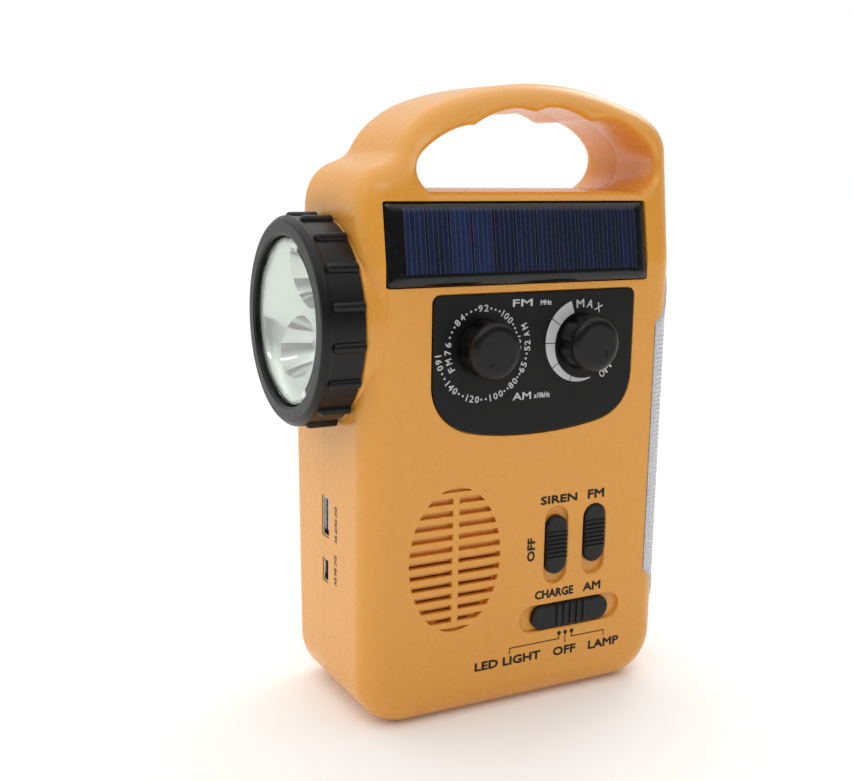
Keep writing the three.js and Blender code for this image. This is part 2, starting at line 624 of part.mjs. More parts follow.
function torchReflector() {
  const rim = TORCH.faceX + 4.6;
  const r = NECK_R - 1.6 - GAP;
  const block = turned([
    [0, rim], [r, rim], [r, rim + 2], [24.5, rim + 5], [23, CUP_BACK], [0, CUP_BACK],
  ], 'x', torchAxis, 36);
  const dish = turned(
    [[0, rim - 1], [r - 0.9, rim - 1], [r - 1, rim + 0.4], [19, rim + 5.4], [0, rim + 7.4]],
    'x', torchAxis, 32);
  const cups = CUP_ANGLES.flatMap((degrees) => {
    const a = THREE.MathUtils.degToRad(degrees);
    const centre = [0, CUP_OFFSET * Math.cos(a), TORCH.z + CUP_OFFSET * Math.sin(a)];
    const bowl = [[0, rim - 1], [10.6, rim - 1]];
    for (let i = 0; i <= 4; i += 1) {
      const q = 1 - i / 4;
      bowl.push([3 + 7.6 * q, rim + 12.8 - 12.8 * q * q]);
    }
    bowl.push([0, rim + 12.8]);
    return [turned(bowl, 'x', centre, 18), rod(2.9, 'x', centre, rim, CUP_BACK + 1, 12)];
  });
  return cut(block, dish, ...cups);
}

function torchLed(degrees) {
  const a = THREE.MathUtils.degToRad(degrees);
  const centre = [0, CUP_OFFSET * Math.cos(a), TORCH.z + CUP_OFFSET * Math.sin(a)];
  return turned([
    [0, CUP_BACK - 7.4], [1.6, CUP_BACK - 7.0], [2.5, CUP_BACK - 5.4], [2.5, CUP_BACK + 0.6],
    [0, CUP_BACK + 0.6],
  ], 'x', centre, 14);
}

function torchBoard() {
  return rod(22.5, 'x', torchAxis, CUP_BACK + 1, CUP_BACK + 2.6, 32);
}

// ---- Side lamp -----------------------------------------------------------------------------
function lampLens() {
  const grown = leaned(frontExtrude(bodyOutline(), FRONT_Y - 0.2, REAR_Y + 0.2, EDGE_FILLET, 4, 6));
  const skin = reshaped(grown, (p) => {
    if (p.x > 30) p.x += LAMP.proud;
  });
  const hollow = reshaped(
    leaned(frontExtrude(bodyOutline(), FRONT_Y + 1.6, REAR_Y - 1.6, EDGE_FILLET - 1.4, 4, 6)),
    (p) => {
      if (p.x > 30) p.x -= 1.4;
    });
  return cut(skin.intersect(lampRegion(0)), hollow);
}

function lampTray() {
  const [z0, z1] = [LAMP.z0 + 9, LAMP.z1 - 12];
  const outer = box(47.6, 51.6, -21, 16, z0, z1);
  const hollow = box(48.8, 60, -19.8, 14.8, z0 + 1.2, z1 - 1.2);
  return cut(outer, hollow);
}

function lampBoard() {
  const leds = [];
  for (let i = 0; i < 8; i += 1) {
    const z = LAMP.z0 + 19 + i * 11.6;
    leds.push(box(50, 51.4, -2.5, 0.5, z - 1.4, z + 1.4));
  }
  return join(box(49.1, 50.1, -8, 6, LAMP.z0 + 12, LAMP.z1 - 15), ...leds);
}

// ---- Works inside --------------------------------------------------------------------------
const speakerAt = [GRILLE.x, 0, GRILLE.z];

function speakerFrame() {
  const y = SPEAKER_Y;
  return turned([
    [21.9, y], [23.5, y], [23.5, y + 1.6], [22, y + 2.0], [13.4, y + 9.2], [3.4, y + 9.2],
    [3.4, y + 8.2], [12.6, y + 8.2], [21.1, y + 1.4], [21.9, y],
  ], 'y', speakerAt, 32);
}

function speakerCone() {
  const y = SPEAKER_Y;
  return turned([
    [0, y + 3.2], [4.5, y + 4.2], [5.6, y + 6.4], [19.4, y + 0.8], [20.1, y + 0.9],
    [5.6, y + 7.2], [2.8, y + 7.4], [2.8, y + 9.0], [0, y + 9.0],
  ], 'y', speakerAt, 28);
}

function speakerMagnet() {
  return rod(12, 'y', speakerAt, SPEAKER_Y + 9.6, SPEAKER_Y + 16.4, 28);
}

function mainBoard() {
  const shape = new THREE.Shape();
  shape.moveTo(2.5, 18);
  shape.lineTo(43.5, 18);
  shape.lineTo(43.5, 138);
  shape.lineTo(-38, 138);
  shape.lineTo(-38, 84);
  shape.lineTo(2.5, 84);
  return frontExtrude(shape, BOARD_Y[0], BOARD_Y[1]);
}

function tuningCapacitor() {
  const y0 = FRONT_Y + WALL + GAP;
  const block = box(TUNING_X - 10, TUNING_X + 10, y0, BOARD_Y[0] - GAP, KNOB.z - 10, KNOB.z + 10);
  return cut(block, rod(KNOB.stemR + 0.4, 'y', [TUNING_X, 0, KNOB.z], y0 - 1, BOARD_Y[0] - 1.4, 16));
}

function volumePot() {
  const y0 = FRONT_Y + WALL + GAP;
  return turned([
    [KNOB.stemR + 0.4, y0], [8.5, y0], [8.5, BOARD_Y[0] - GAP], [0, BOARD_Y[0] - GAP],
    [0, BOARD_Y[0] - 1.4], [KNOB.stemR + 0.4, BOARD_Y[0] - 1.4], [KNOB.stemR + 0.4, y0],
  ], 'y', [VOLUME_X, 0, KNOB.z], 24);
}

// A metal port shell with an open mouth on the left side and a contact tongue inside.
function portShell({ z, high, wide, deep }, back) {
  const x0 = -HALF_W + 0.4;
  const sheet = 0.4;
  const [y, h] = [wide / 2, high / 2];
  return cut(
    box(x0, x0 + deep, -y, y, z - h, z + h),
    box(x0 - 1, x0 + deep - back, -y + sheet, y - sheet, z - h + sheet, z + h - sheet));
}

function usbPort() {
  const x0 = -HALF_W + 0.4;
  return join(portShell(USB, 2), box(x0 + 1.2, x0 + USB.deep - 1, 0.3, 1.7, USB.z - 5.4, USB.z + 5.4));
}

function dcPort() {
  const x0 = -HALF_W + 0.4;
  return join(portShell(DC, 1.6), box(x0 + 1, x0 + DC.deep - 1, -0.5, 0.5, DC.z - 2.2, DC.z + 2.2));
}

function chargeBoard() {
  return box(-HALF_W + 3.2, -34, USB.wide / 2 + GAP, USB.wide / 2 + GAP + 1.6, 38, 73);
}

function ferriteRod() {
  return rod(4, 'x', [0, 10, 155], -32, 32, 16);
}

function ferriteCoil() {
  return tube(6, 4.3, 'x', [0, 10, 155], -22, -4, 20);
}

function batteryCell(i) {
  const z = CELL.z0 + i * CELL.pitch;
  const h = CELL.length / 2;
  const s = i % 2 ? -1 : 1;
  return turned([
    [0, -s * h], [CELL.r - 0.4, -s * h], [CELL.r, -s * (h - 0.6)], [CELL.r, s * (h - 2.2)],
    [CELL.r - 0.6, s * (h - 1.4)], [2.7, s * (h - 1.4)], [2.7, s * h], [0, s * h],
  ], 'x', [0, CELL.y, z], 20);
}

function batteryContact(side) {
  const x0 = side * (CELL.length / 2 + 1.2);
  const x1 = side * (CELL.length / 2 + 1.9);
  const z1 = CELL.z0 + 2 * CELL.pitch + 5;
  return box(Math.min(x0, x1), Math.max(x0, x1), CELL.y - 5, CELL.y + 5, CELL.z0 - 5, z1);
}

function batteryDoor() {
  const slab = slopedSlab(DOOR.x, DOOR.z0, DOOR.z1, 0, DOOR.thick);
  const thumb = rod(9, 'y', [0, 0, DOOR.z1 + 2], rearSurface(DOOR.z1) - 0.8, REAR_Y + 3, 20);
  return cut(slab, thumb);
}

// ---- Crank and generator -------------------------------------------------------------------
// A spur gear outline: straight-sided teeth that follow the pitch circle, thinned for slack.
function gearShape(teeth, x, z, phase) {
  const pitchR = MODULE * teeth / 2;
  const step = 2 * Math.PI / teeth;
  const thin = 0.1 / pitchR;
  const pressure = Math.tan(THREE.MathUtils.degToRad(20));
  const flank = (r) => step / 4 - thin - pressure * (r - pitchR) / pitchR;
  const tip = pitchR + 0.92 * MODULE;
  const root = pitchR - 1.25 * MODULE;
  const points = [];
  const at = (r, a) => points.push(new THREE.Vector2(x + r * Math.cos(a), z + r * Math.sin(a)));
  for (let i = 0; i < teeth; i += 1) {
    const a = phase + i * step;
    const wideRoot = Math.min(flank(root), step * 0.4);
    at(root, a - wideRoot);
    at(pitchR, a - flank(pitchR));
    at(tip, a - Math.max(flank(tip) * 0.9, 0.012));
    at(tip, a + Math.max(flank(tip) * 0.9, 0.012));
    at(pitchR, a + flank(pitchR));
    at(root, a + wideRoot);
  }
  return new THREE.Shape(points);
}

const toRad = THREE.MathUtils.degToRad;
const pairDistance = (a, b) => MODULE * (a + b) / 2 + MESH_SLACK;
const CRANK_AT = { x: DISH.x, z: DISH.z };
const COMPOUND_AT = {
  x: CRANK_AT.x + pairDistance(TEETH.drive, TEETH.compoundSmall) * Math.cos(toRad(COMPOUND_ANGLE)),
  z: CRANK_AT.z + pairDistance(TEETH.drive, TEETH.compoundSmall) * Math.sin(toRad(COMPOUND_ANGLE)),
};
const ROTOR_AT = {
  x: COMPOUND_AT.x + pairDistance(TEETH.compoundLarge, TEETH.rotor) * Math.cos(toRad(ROTOR_ANGLE)),
  z: COMPOUND_AT.z + pairDistance(TEETH.compoundLarge, TEETH.rotor) * Math.sin(toRad(ROTOR_ANGLE)),
};

// Drawings run along -Y, so x and z keep their sense and gear phases stay as drawn.
function driveGear() {
  const gear = frontExtrude(
    gearShape(TEETH.drive, CRANK_AT.x, CRANK_AT.z, toRad(COMPOUND_ANGLE)), 12.6, 16.4);
  const windows = [0, 1, 2, 3].map((i) => {
    const a = toRad(45 + 90 * i);
    return rod(5, 'y', [CRANK_AT.x + 13 * Math.cos(a), 0, CRANK_AT.z + 13 * Math.sin(a)], 10, 20, 12);
  });
  const shaft = rod(3, 'y', [CRANK_AT.x, 0, CRANK_AT.z], GEARBOX_Y[0] - 0.4, 25.6, 16);
  return join(cut(gear, ...windows), shaft);
}

function compoundGear() {
  const { x, z } = COMPOUND_AT;
  const phase = toRad(COMPOUND_ANGLE + 180) + Math.PI / TEETH.compoundSmall;
  const small = frontExtrude(gearShape(TEETH.compoundSmall, x, z, phase), 10.2, 17);
  const large = frontExtrude(gearShape(TEETH.compoundLarge, x, z, toRad(ROTOR_ANGLE)), 7, 10.4);
  return cut(join(small, large), rod(1.3, 'y', [x, 0, z], 5, 20, 12));
}

function compoundAxle() {
  return rod(1, 'y', [COMPOUND_AT.x, 0, COMPOUND_AT.z], GEARBOX_Y[0] - 0.4, 18, 12);
}

function rotorPinion() {
  const { x, z } = ROTOR_AT;
  const phase = toRad(ROTOR_ANGLE + 180) + Math.PI / TEETH.rotor;
  return cut(frontExtrude(gearShape(TEETH.rotor, x, z, phase), 6.6, 11),
    rod(1.3, 'y', [x, 0, z], 5, 20, 10));
}

function generatorRotor() {
  const at = [ROTOR_AT.x, 0, ROTOR_AT.z];
  return turned([
    [0, -12.4], [1, -12.4], [1, -10], [7.6, -10], [7.6, 0], [1, 0], [1, 12.2], [0, 12.2],
  ], 'y', at, 16);
}

function generatorCan() {
  const at = [ROTOR_AT.x, 0, ROTOR_AT.z];
  const top = GEARBOX_Y[0] - GAP;
  return turned([
    [1.5, -14], [12, -14], [12, top], [1.5, top], [1.5, top - 1.2], [9.4, top - 1.2],
    [9.4, -12.6], [1.5, -12.6], [1.5, -14],
  ], 'y', at, 24);
}

function gearboxPlate() {
  const plate = frontExtrude(roundedRect(-20, 44, 59, 111, 4), GEARBOX_Y[0], GEARBOX_Y[1], 0, 1, 3);
  const hole = (p, r) => rod(r, 'y', [p.x, 0, p.z], 0, 10, 12);
  const screwHoles = GEAR_POSTS.map(([x, z]) => rod(1.6, 'y', [x, 0, z], 0, 10, 8));
  return cut(plate, hole(CRANK_AT, 3.4), hole(COMPOUND_AT, 1.3), hole(ROTOR_AT, 1.4), ...screwHoles);
}

function crankArm() {
  const centreZ = DISH.z - ARM.reach / 2;
  const plate = frontExtrude(
    stadium(DISH.x, centreZ, ARM.reach + 2 * ARM.half, 2 * ARM.half, true), ARM.y0, ARM.y1, 0.8, 1, 6);
  const slotTop = DISH.z - 9;
  const slot = box(-5.4, 5.4, 0, 40, PIN.z - 4.6, slotTop);
  const shaftSocket = rod(3.3, 'y', [DISH.x, 0, DISH.z], 0, 26, 16);
  const pinHole = rod(1.3, 'x', [0, PIN.y, PIN.z], -20, 20, 10);
  return cut(plate, slot, shaftSocket, pinHole);
}

function crankPin() {
  return rod(1, 'x', [0, PIN.y, PIN.z], -7.4, 7.4, 10);
}

// The folding spindle: an eye on the hinge pin and a rod that carries the grip.
function knobSpindle() {
  const eye = tube(3.4, 1.3, 'x', [0, PIN.y, PIN.z], -4.8, 4.8, 16);
  const stalk = rod(1.8, 'z', [0, PIN.y, PIN.z], 3.0, 21.6, 12);
  const keeper = rod(2.8, 'z', [0, PIN.y, PIN.z], 21.2, 22.2, 12);
  return join(eye, stalk, keeper);
}

function crankKnob() {
  return turned([
    [2.1, 4.0], [3.4, 4.0], [GRIP_R, 5.6], [GRIP_R, 18.6], [3.6, 20.9], [2.1, 20.9], [2.1, 4.0],
  ], 'z', [0, PIN.y, PIN.z], 20);
}

// ---- Antenna -------------------------------------------------------------------------------
// The base turns about the rod's own line; the rod hinges out of it about an upright pin.
function antennaBase() {
  const { x, y, z } = ANTENNA;
  const barrel = rod(3.4, 'x', [0, y, z], x - 9, x - 2.6, 16);
  const ears = box(x - 4, x + 2.6, y - 2.8, y + 2.8, z - 3.2, z + 3.2);
  const slot = box(x - 2.5, x + 9, y - 9, y + 9, z - 1.5, z + 1.5);
  return cut(join(barrel, ears), slot);
}

function antennaSection(i) {
  const { x, y, z, length } = ANTENNA;
  const outer = ANTENNA_RADII[i];
  const start = x + 5 + i * 1.2;
  const end = x + length + 0.9 * i;
  const last = ANTENNA_RADII.length - 1;
  const body = i === last
    ? join(rod(outer, 'x', [0, y, z], start, end, 12), rod(2.6, 'x', [0, y, z], end - 0.2, end + 3, 12))
    : tube(outer, ANTENNA_RADII[i + 1] + 0.25, 'x', [0, y, z], start, end, 16);
  if (i > 0) return body;
  const tang = box(x - 1.4, x + 5.4, y - 1.7, y + 1.7, z - 1.2, z + 1.2);
  const plug = rod(outer, 'x', [0, y, z], x + 4.2, x + 5.4, 16);
  return join(body, plug, tang);
}

// ---- Fasteners -----------------------------------------------------------------------------
function housingScrew([x, z]) {
  const head = rearSurface(z) - 7 + GAP;
  return turned([
    [0, -13], [1.2, -12], [1.2, head], [2.8, head], [2.8, head + 1.8], [0, head + 1.8],
  ], 'y', [x, 0, z], 10);
}

// ---- Assembly ------------------------------------------------------------------------------
const radio = new THREE.Group();
radio.name = 'emergency_radio';

function place(name, solid, material) {
  const mesh = new THREE.Mesh(toGeometry(solid), material);
  mesh.name = name;
  radio.add(mesh);
}

const shells = housingShells();
place('front_housing', frontHousing(shells.front), ORANGE);
place('rear_housing', rearHousing(shells.rear), ORANGE);
place('battery_door', batteryDoor(), ORANGE);
place('solar_panel', solarPanel(), NAVY);
place('control_plate', controlPlate(), BLACK);
place('tuning_knob', knob(TUNING_X), BLACK);
place('volume_knob', knob(VOLUME_X), BLACK);
place('siren_switch_button', switchCap.siren(), BLACK);
place('band_switch_button', switchCap.band(), BLACK);
place('light_switch_button', switchCap.lights(), BLACK);
place('siren_switch_body', switchBody(SIREN, SIREN.travel, true), STEEL);
place('band_switch_body', switchBody(BAND, BAND.travel / 2, true), STEEL);
place('light_switch_body', switchBody(FUNCTION, FUNCTION.travel, false), STEEL);
place('torch_bezel', torchBezel(), BLACK);
place('torch_lens', torchLens(), CLEAR);
place('torch_reflector', torchReflector(), CHROME);
CUP_ANGLES.forEach((angle, i) => place(`torch_led_${i + 1}`, torchLed(angle), WHITE));
place('torch_led_board', torchBoard(), GREEN_BOARD);
place('lamp_lens', lampLens(), CLEAR);
place('lamp_tray', lampTray(), WHITE);
place('lamp_led_board', lampBoard(), WHITE);
place('usb_out_port', usbPort(), STEEL);
place('dc_in_port', dcPort(), STEEL);
place('charge_board', chargeBoard(), GREEN_BOARD);
place('speaker_frame', speakerFrame(), STEEL);
place('speaker_cone', speakerCone(), PAPER);
place('speaker_magnet', speakerMagnet(), STEEL);
place('main_board', mainBoard(), GREEN_BOARD);
place('tuning_capacitor', tuningCapacitor(), CLEAR);
place('volume_pot', volumePot(), STEEL);
place('ferrite_rod', ferriteRod(), FERRITE);
place('ferrite_coil', ferriteCoil(), COPPER);
[0, 1, 2].forEach((i) => place(`battery_cell_${i + 1}`, batteryCell(i), CELL_WRAP));
place('battery_contact_left', batteryContact(-1), STEEL);
place('battery_contact_right', batteryContact(1), STEEL);
place('gearbox_plate', gearboxPlate(), STEEL);
place('generator_can', generatorCan(), STEEL);
place('generator_rotor', generatorRotor(), STEEL);
place('rotor_pinion', rotorPinion(), BRASS);
place('compound_gear', compoundGear(), WHITE);
place('compound_axle', compoundAxle(), STEEL);
place('drive_gear', driveGear(), WHITE);
place('crank_arm', crankArm(), BLACK);
place('crank_pin', crankPin(), STEEL);
place('knob_spindle', knobSpindle(), STEEL);
place('crank_knob', crankKnob(), BLACK);
place('antenna_base', antennaBase(), CHROME);
ANTENNA_RADII.forEach((r, i) => place(`antenna_section_${i + 1}`, antennaSection(i), CHROME));
SCREWS.forEach((at, i) => place(`housing_screw_${i + 1}`, housingScrew(at), STEEL));

export default radio;
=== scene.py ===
# Emergency radio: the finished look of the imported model, for Blender 4.5.
# The tables below are in millimetres; every mesh ends up in metres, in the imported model's frame:
# +X to the right seen from the front, +Y into the radio, +Z up, origin in the middle of the base.
from math import ceil, cos, hypot, pi, radians, sin, tan
from types import SimpleNamespace as Sizes
import bpy
import bmesh
import numpy as np
from mathutils import Matrix, Vector


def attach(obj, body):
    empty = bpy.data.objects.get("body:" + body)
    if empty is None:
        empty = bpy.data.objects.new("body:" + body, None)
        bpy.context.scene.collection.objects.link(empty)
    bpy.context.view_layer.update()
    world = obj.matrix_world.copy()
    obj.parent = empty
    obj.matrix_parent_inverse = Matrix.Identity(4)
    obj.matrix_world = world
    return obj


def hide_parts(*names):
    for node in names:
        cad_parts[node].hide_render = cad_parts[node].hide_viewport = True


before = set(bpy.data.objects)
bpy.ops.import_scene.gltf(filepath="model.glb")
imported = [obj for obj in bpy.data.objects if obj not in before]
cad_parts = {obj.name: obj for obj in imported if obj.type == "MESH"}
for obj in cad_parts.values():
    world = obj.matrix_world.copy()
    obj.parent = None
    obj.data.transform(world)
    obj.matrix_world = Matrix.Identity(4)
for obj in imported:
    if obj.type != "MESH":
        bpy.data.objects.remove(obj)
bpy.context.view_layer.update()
MM = 0.001

# ---- Lengths ------------------------------------------------------------------------------
HALF_W, FRONT_Y, REAR_Y, HEIGHT = 57.5, -31.95, 31.95, 204.6
WALL, GAP = 2.5, 0.3
EDGE, BASE_CORNER = 9.0, 16.3    # rounds of the body's long edges and of its lower corners
PARTING, SEAM = 1.0, 0.1         # where the two shells meet, and the visible line between them
GRIP_MOUTH_Y, GRIP_DRIFT = -26.5, 4.0
FRONT_KINK, FRONT_LEAN = 148.7, 0.16
REAR_KINK, REAR_LEAN_UP, REAR_LEAN_DOWN = 97.6, 0.1129, 0.0426
KNOB_Z, TUNING_X, VOLUME_X = 122.7, -17.9, 19.3
KNOB_R, KNOB_DEEP, SHAFT_R, SHAFT_HOLE_R = 9.05, 9.0, 3.0, 3.6
PLATE_THICK, PLATE_SINK = 1.2, 1.0
PLATE_FACE = FRONT_Y + PLATE_SINK - GAP / 2 - PLATE_THICK
TORCH = Sizes(x=-71.9, z=129.5, ribs=17, phase=17.75, neck=-57.9, back=-58.2, bore=27.7)
CUPS = Sizes(offset=13.0, angles=(75, 195, 315), back=-49.0)
DISH = Sizes(x=0, z=100, r=46, floor=21)
GRILLE = Sizes(x=-26, z=54.4, rx=16.7, rz=24, rows=11, pitch=3.94, slot=1.96, bar=2.2)
LAMP = Sizes(x=49.5, half=34, tip=25, z0=24, z1=146.5, top=26, base=21.7, proud=0.7)
PANEL = Sizes(x0=-51, x1=44.5, z0=142.4, z1=167.6, lean=0.165, thick=3.2, proud=2.0)
SWITCHES = dict(
    siren=Sizes(x=12.5, z=54.3, length=27, cap=20.4, upright=True, offset=0, body="siren_switch"),
    band=Sizes(x=27.8, z=54.4, length=24.8, cap=20.3, upright=True, offset=2.05, body="band_switch"),
    light=Sizes(x=19.2, z=29.3, length=40.3, cap=31, upright=False, offset=0, body="light_switch"))
SWITCH_WIDE, RECESS, CAP_PROUD = 9.0, 1.5, 0.8
ANTENNA = Sizes(x=-38, y=26.5, z=156, length=86, radii=(3.1, 2.4, 1.7, 1.0))
SCREWS = ((-43, 14), (43, 14), (-47.5, 80), (45, 147.6), (-46.5, 167))
SCREW_SINK, SCREW_R, HEAD_R, HEAD_TALL = 7, 1.2, 2.8, 1.8
INK_LIFT, INK_THICK = 0.004, 0.03    # the gap under a film of print, and its thickness
SOCKETS = (Sizes(z=64.2, high=13.2, wide=5.4), Sizes(z=45.8, high=7.6, wide=4.2))
DOOR = Sizes(x=30, z0=11, z1=51, thick=2)
CRANK = Sizes(reach=34, half=8, y0=21.7, y1=28.4, pin_y=25.3, pin_r=1.3)


def shown(name, data):
    """A new object for the data, put in the scene."""
    obj = bpy.data.objects.new(name, data)
    bpy.context.scene.collection.objects.link(obj)
    return obj


# ---- Camera -------------------------------------------------------------------------------
def add_camera():
    azimuth, pitch, roll = (radians(a) for a in (27.79, 10.92, 0.89))
    level = Vector((sin(azimuth), cos(azimuth), 0))
    right = Vector((level.y, -level.x, 0))
    ahead = level * cos(pitch) - Vector((0, 0, 1)) * sin(pitch)
    up = right.cross(ahead)
    across = right * cos(roll) + up * sin(roll)
    over = up * cos(roll) - right * sin(roll)
    data = bpy.data.cameras.new("camera")
    data.sensor_fit, data.sensor_width, data.lens = "HORIZONTAL", 36, 50.68
    data.clip_start, data.clip_end = 0.01, 50
    camera = shown("camera", data)
    turn = Matrix((across, over, -ahead)).transposed().to_4x4()
    camera.matrix_world = Matrix.Translation((-0.20595, -0.35169, 0.18036)) @ turn
    bpy.context.scene.camera = camera


add_camera()


# ---- Outlines -----------------------------------------------------------------------------
def heading(a):
    return Vector((cos(a), sin(a)))


def spun(x, y, a):
    """The point (x, y) turned by the angle a about the origin."""
    return Vector((x * cos(a) - y * sin(a), x * sin(a) + y * cos(a)))


TRACE_STEP = 0.8                 # the length aimed at for each straight bit of a curve


def trace(start, *moves):
    """Points of a closed outline, anticlockwise. Moves are lines, bends (Bezier) and arcs."""
    points = [Vector(start)]
    for kind, *spec in moves:
        here = points[-1]
        if kind == "line":
            points.append(Vector(spec[0]))
        elif kind == "bend":
            b, c, d = (Vector(v) for v in spec)
            count = max(4, ceil(((b - here).length + (c - b).length + (d - c).length) / TRACE_STEP))
            for k in range(1, count + 1):
                t = k / count
                s = 1 - t
                points.append(here * s**3 + b * 3 * s * s * t + c * 3 * s * t * t + d * t**3)
        else:
            middle, a0, a1 = Vector(spec[0]), spec[1], spec[2]
            radius = (here - middle).length
            count = max(4, ceil(radians(abs(a1 - a0)) * radius / TRACE_STEP))
            for k in range(1, count + 1):
                points.append(middle + heading(radians(a0 + (a1 - a0) * k / count)) * radius)
    if (points[0] - points[-1]).length < 1e-3:
        points.pop()
    return points


def rounded(corners, steps=5):
    """A closed polyline through (a, b, radius) corners, each rounded by its radius."""
    result = []
    for i, (a, b, radius) in enumerate(corners):
        here = Vector((a, b))
        if radius <= 0:
            result.append(here)
            continue
        back = (Vector(corners[i - 1][:2]) - here).normalized()
        onward = (Vector(corners[(i + 1) % len(corners)][:2]) - here).normalized()
        half = back.angle(onward) / 2
        middle = here + (back + onward).normalized() * (radius / sin(half))
        first = here + back * (radius / tan(half)) - middle
        final = here + onward * (radius / tan(half)) - middle
        turn = first.angle_signed(final)
        result += [middle + spun(first.x, first.y, -turn * k / steps) for k in range(steps + 1)]
    return result


def oval(x, z, rx, rz, count):
    return [Vector((x + rx * cos(2 * pi * k / count), z + rz * sin(2 * pi * k / count)))
            for k in range(count)]


def disc(x, z, radius, count=48):
    return oval(x, z, radius, radius, count)


def oblong(x, z, length, wide, upright, steps=14):
    """A slot outline with round ends."""
    half = (length - wide) / 2
    points = []
    for end in (1, -1):
        for k in range(steps + 1):
            a = pi * k / steps - pi / 2 + (0 if end > 0 else pi)
            points.append((end * half + wide / 2 * cos(a), wide / 2 * sin(a)))
    if upright:
        points = [(-b, a) for a, b in points]
    return [Vector((x + a, z + b)) for a, b in points]


def rectangle(x0, x1, z0, z1, radius=0.0, steps=5):
    return rounded([(x0, z0, radius), (x1, z0, radius), (x1, z1, radius), (x0, z1, radius)], steps)


def inset(points, depth):
    """The outline moved inwards by depth, or outwards when depth is negative."""
    if depth == 0:
        return list(points)
    moved = []
    for i, point in enumerate(points):
        before = (point - points[i - 1]).normalized()
        after = (points[(i + 1) % len(points)] - point).normalized()
        inward = Vector((-before.y - after.y, before.x + after.x)).normalized()
        stretch = max(0.5, inward.dot(Vector((-after.y, after.x))))
        moved.append(point + inward * (depth / stretch))
    return untangled(points, moved, abs(depth))


def untangled(points, moved, depth):
    """Points that came too near another part of the outline are laid between good neighbours."""
    a, m = np.array(points), np.array(moved)
    along = np.roll(a, -1, 0) - a
    rel = m[:, None, :] - a[None, :, :]
    t = np.clip((rel * along).sum(2) / (along**2).sum(1), 0, 1)
    gap = np.linalg.norm(rel - t[:, :, None] * along, axis=2).min(1)
    good = gap > depth * 0.985 - 1e-6
    if good.all() or not good.any():
        return moved
    kept = np.flatnonzero(good)
    count = len(points)
    spread = np.concatenate([kept - count, kept, kept + count])
    index = np.arange(count)
    for axis in (0, 1):
        values = np.tile(m[kept, axis], 3)
        m[:, axis] = np.interp(index, spread, values)
    return [Vector(p) for p in m]


def body_outline():
    left, right, c = -HALF_W, HALF_W, BASE_CORNER
    return trace(
        (left + c, 0), ("line", (right - c, 0)), ("arc", (right - c, c), -90, 0),
        ("line", (right, 150)), ("line", (right + 0.9, 184)),
        ("bend", (right + 1.1, 190.8), (right - 4.2, 195.3), (right - 12, 198)),
        ("bend", (34, 202), (24, HEIGHT), (10, HEIGHT)),
        ("bend", (-3, HEIGHT), (-24, 201.1), (-33, 194.4)),
        ("bend", (-38.7, 190.5), (-40.8, 186.7), (-42.5, 183.4)),
        ("bend", (-44, 180.7), (-46.5, 179.8), (-49.4, 178.8)),
        ("bend", (-54.1, 177), (left - 0.1, 172.4), (left, 165)),
        ("line", (left, 150)), ("line", (left, c)), ("arc", (left + c, c), 180, 270))


def grip_outline(g):
    """The handle's opening, grown by g."""
    low = 170.7 - g
    return trace(
        (44.2 + 0.3 * g, low),
        ("bend", (47.6 + g, 172.3), (50.6 + g, 175.6), (50.6 + g, 180)),
        ("bend", (50.6 + g, 186.6 + g), (39.5, 193.2 + g), (34, 193.8 + g)),
        ("bend", (30.5, 194 + g), (27.2, 192.7 + g), (24.6, 193.7 + g)),
        ("bend", (17.5, 197.4 + g), (11, 197.9 + g), (5.6, 195.5 + g)),
        ("bend", (4.2, 195.4 + g), (2.2, 196.2 + g), (0, 196.3 + g)),
        ("bend", (-8, 196.3 + g), (-14.5, 192.6 + g), (-17.2, 190.9 + g)),
        ("bend", (-22.5, 190.9 + g), (-30, 187.6 + g), (-35.5 - 0.7 * g, 182.8 + 0.6 * g)),
        ("bend", (-40 - g, 178.6), (-38.5 - g, 173.6), (-34.1 - 0.3 * g, low)))


def plate_outline():
    a, b, top, r = -35.5, 39.7, 139.5, 2.5
    return trace(
        (a, 112), ("bend", (a, 104), (-30, 97.4), (-21, 95.7)),
        ("bend", (-8, 92.9), (12, 93), (27, 96.2)), ("bend", (36, 98.4), (b, 104), (b, 113)),
        ("line", (b, top - r)), ("arc", (b - r, top - r), 0, 90),
        ("line", (a + r, top)), ("arc", (a + r, top - r), 90, 180))


def lamp_outline(margin):
    """The lamp window seen from the side, as (y, z): an upright slot with tapered ends."""
    a, t = LAMP.half + margin, LAMP.tip + margin
    c, d = LAMP.z0 - margin, LAMP.z1 + margin
    low, high = c + LAMP.base, d - LAMP.top
    return rounded([(-t, c, 8), (t, c, 8), (a, low, 30), (a, high, 30), (t, d, 8), (-t, d, 8),
                    (-a, high, 30), (-a, low, 30)], 8)


# ---- Solids -------------------------------------------------------------------------------
def solid(name, points, faces):
    mesh = bpy.data.meshes.new(name)
    mesh.from_pydata([tuple(p) for p in points], [], faces)
    return settled(name, mesh)


def settled(name, mesh):
    """An object for the mesh, with doubled points merged and the faces looking outwards."""
    bm = bmesh.new()
    bm.from_mesh(mesh)
    bmesh.ops.remove_doubles(bm, verts=bm.verts[:], dist=1e-4)
    bmesh.ops.recalc_face_normals(bm, faces=bm.faces[:])
    if bm.calc_volume(signed=True) < 0:
        bmesh.ops.reverse_faces(bm, faces=bm.faces[:])
    bm.to_mesh(mesh)
    bm.free()
    return shown(name, mesh)


def baked(name, bm):
    """A mesh from the edited one, which is let go."""
    mesh = bpy.data.meshes.new(name)
    bm.to_mesh(mesh)
    bm.free()
    return mesh


AXES = {"y": lambda a, b, d: (a, d, b), "x": lambda a, b, d: (d, a, b), "z": lambda a, b, d: (a, b, d)}


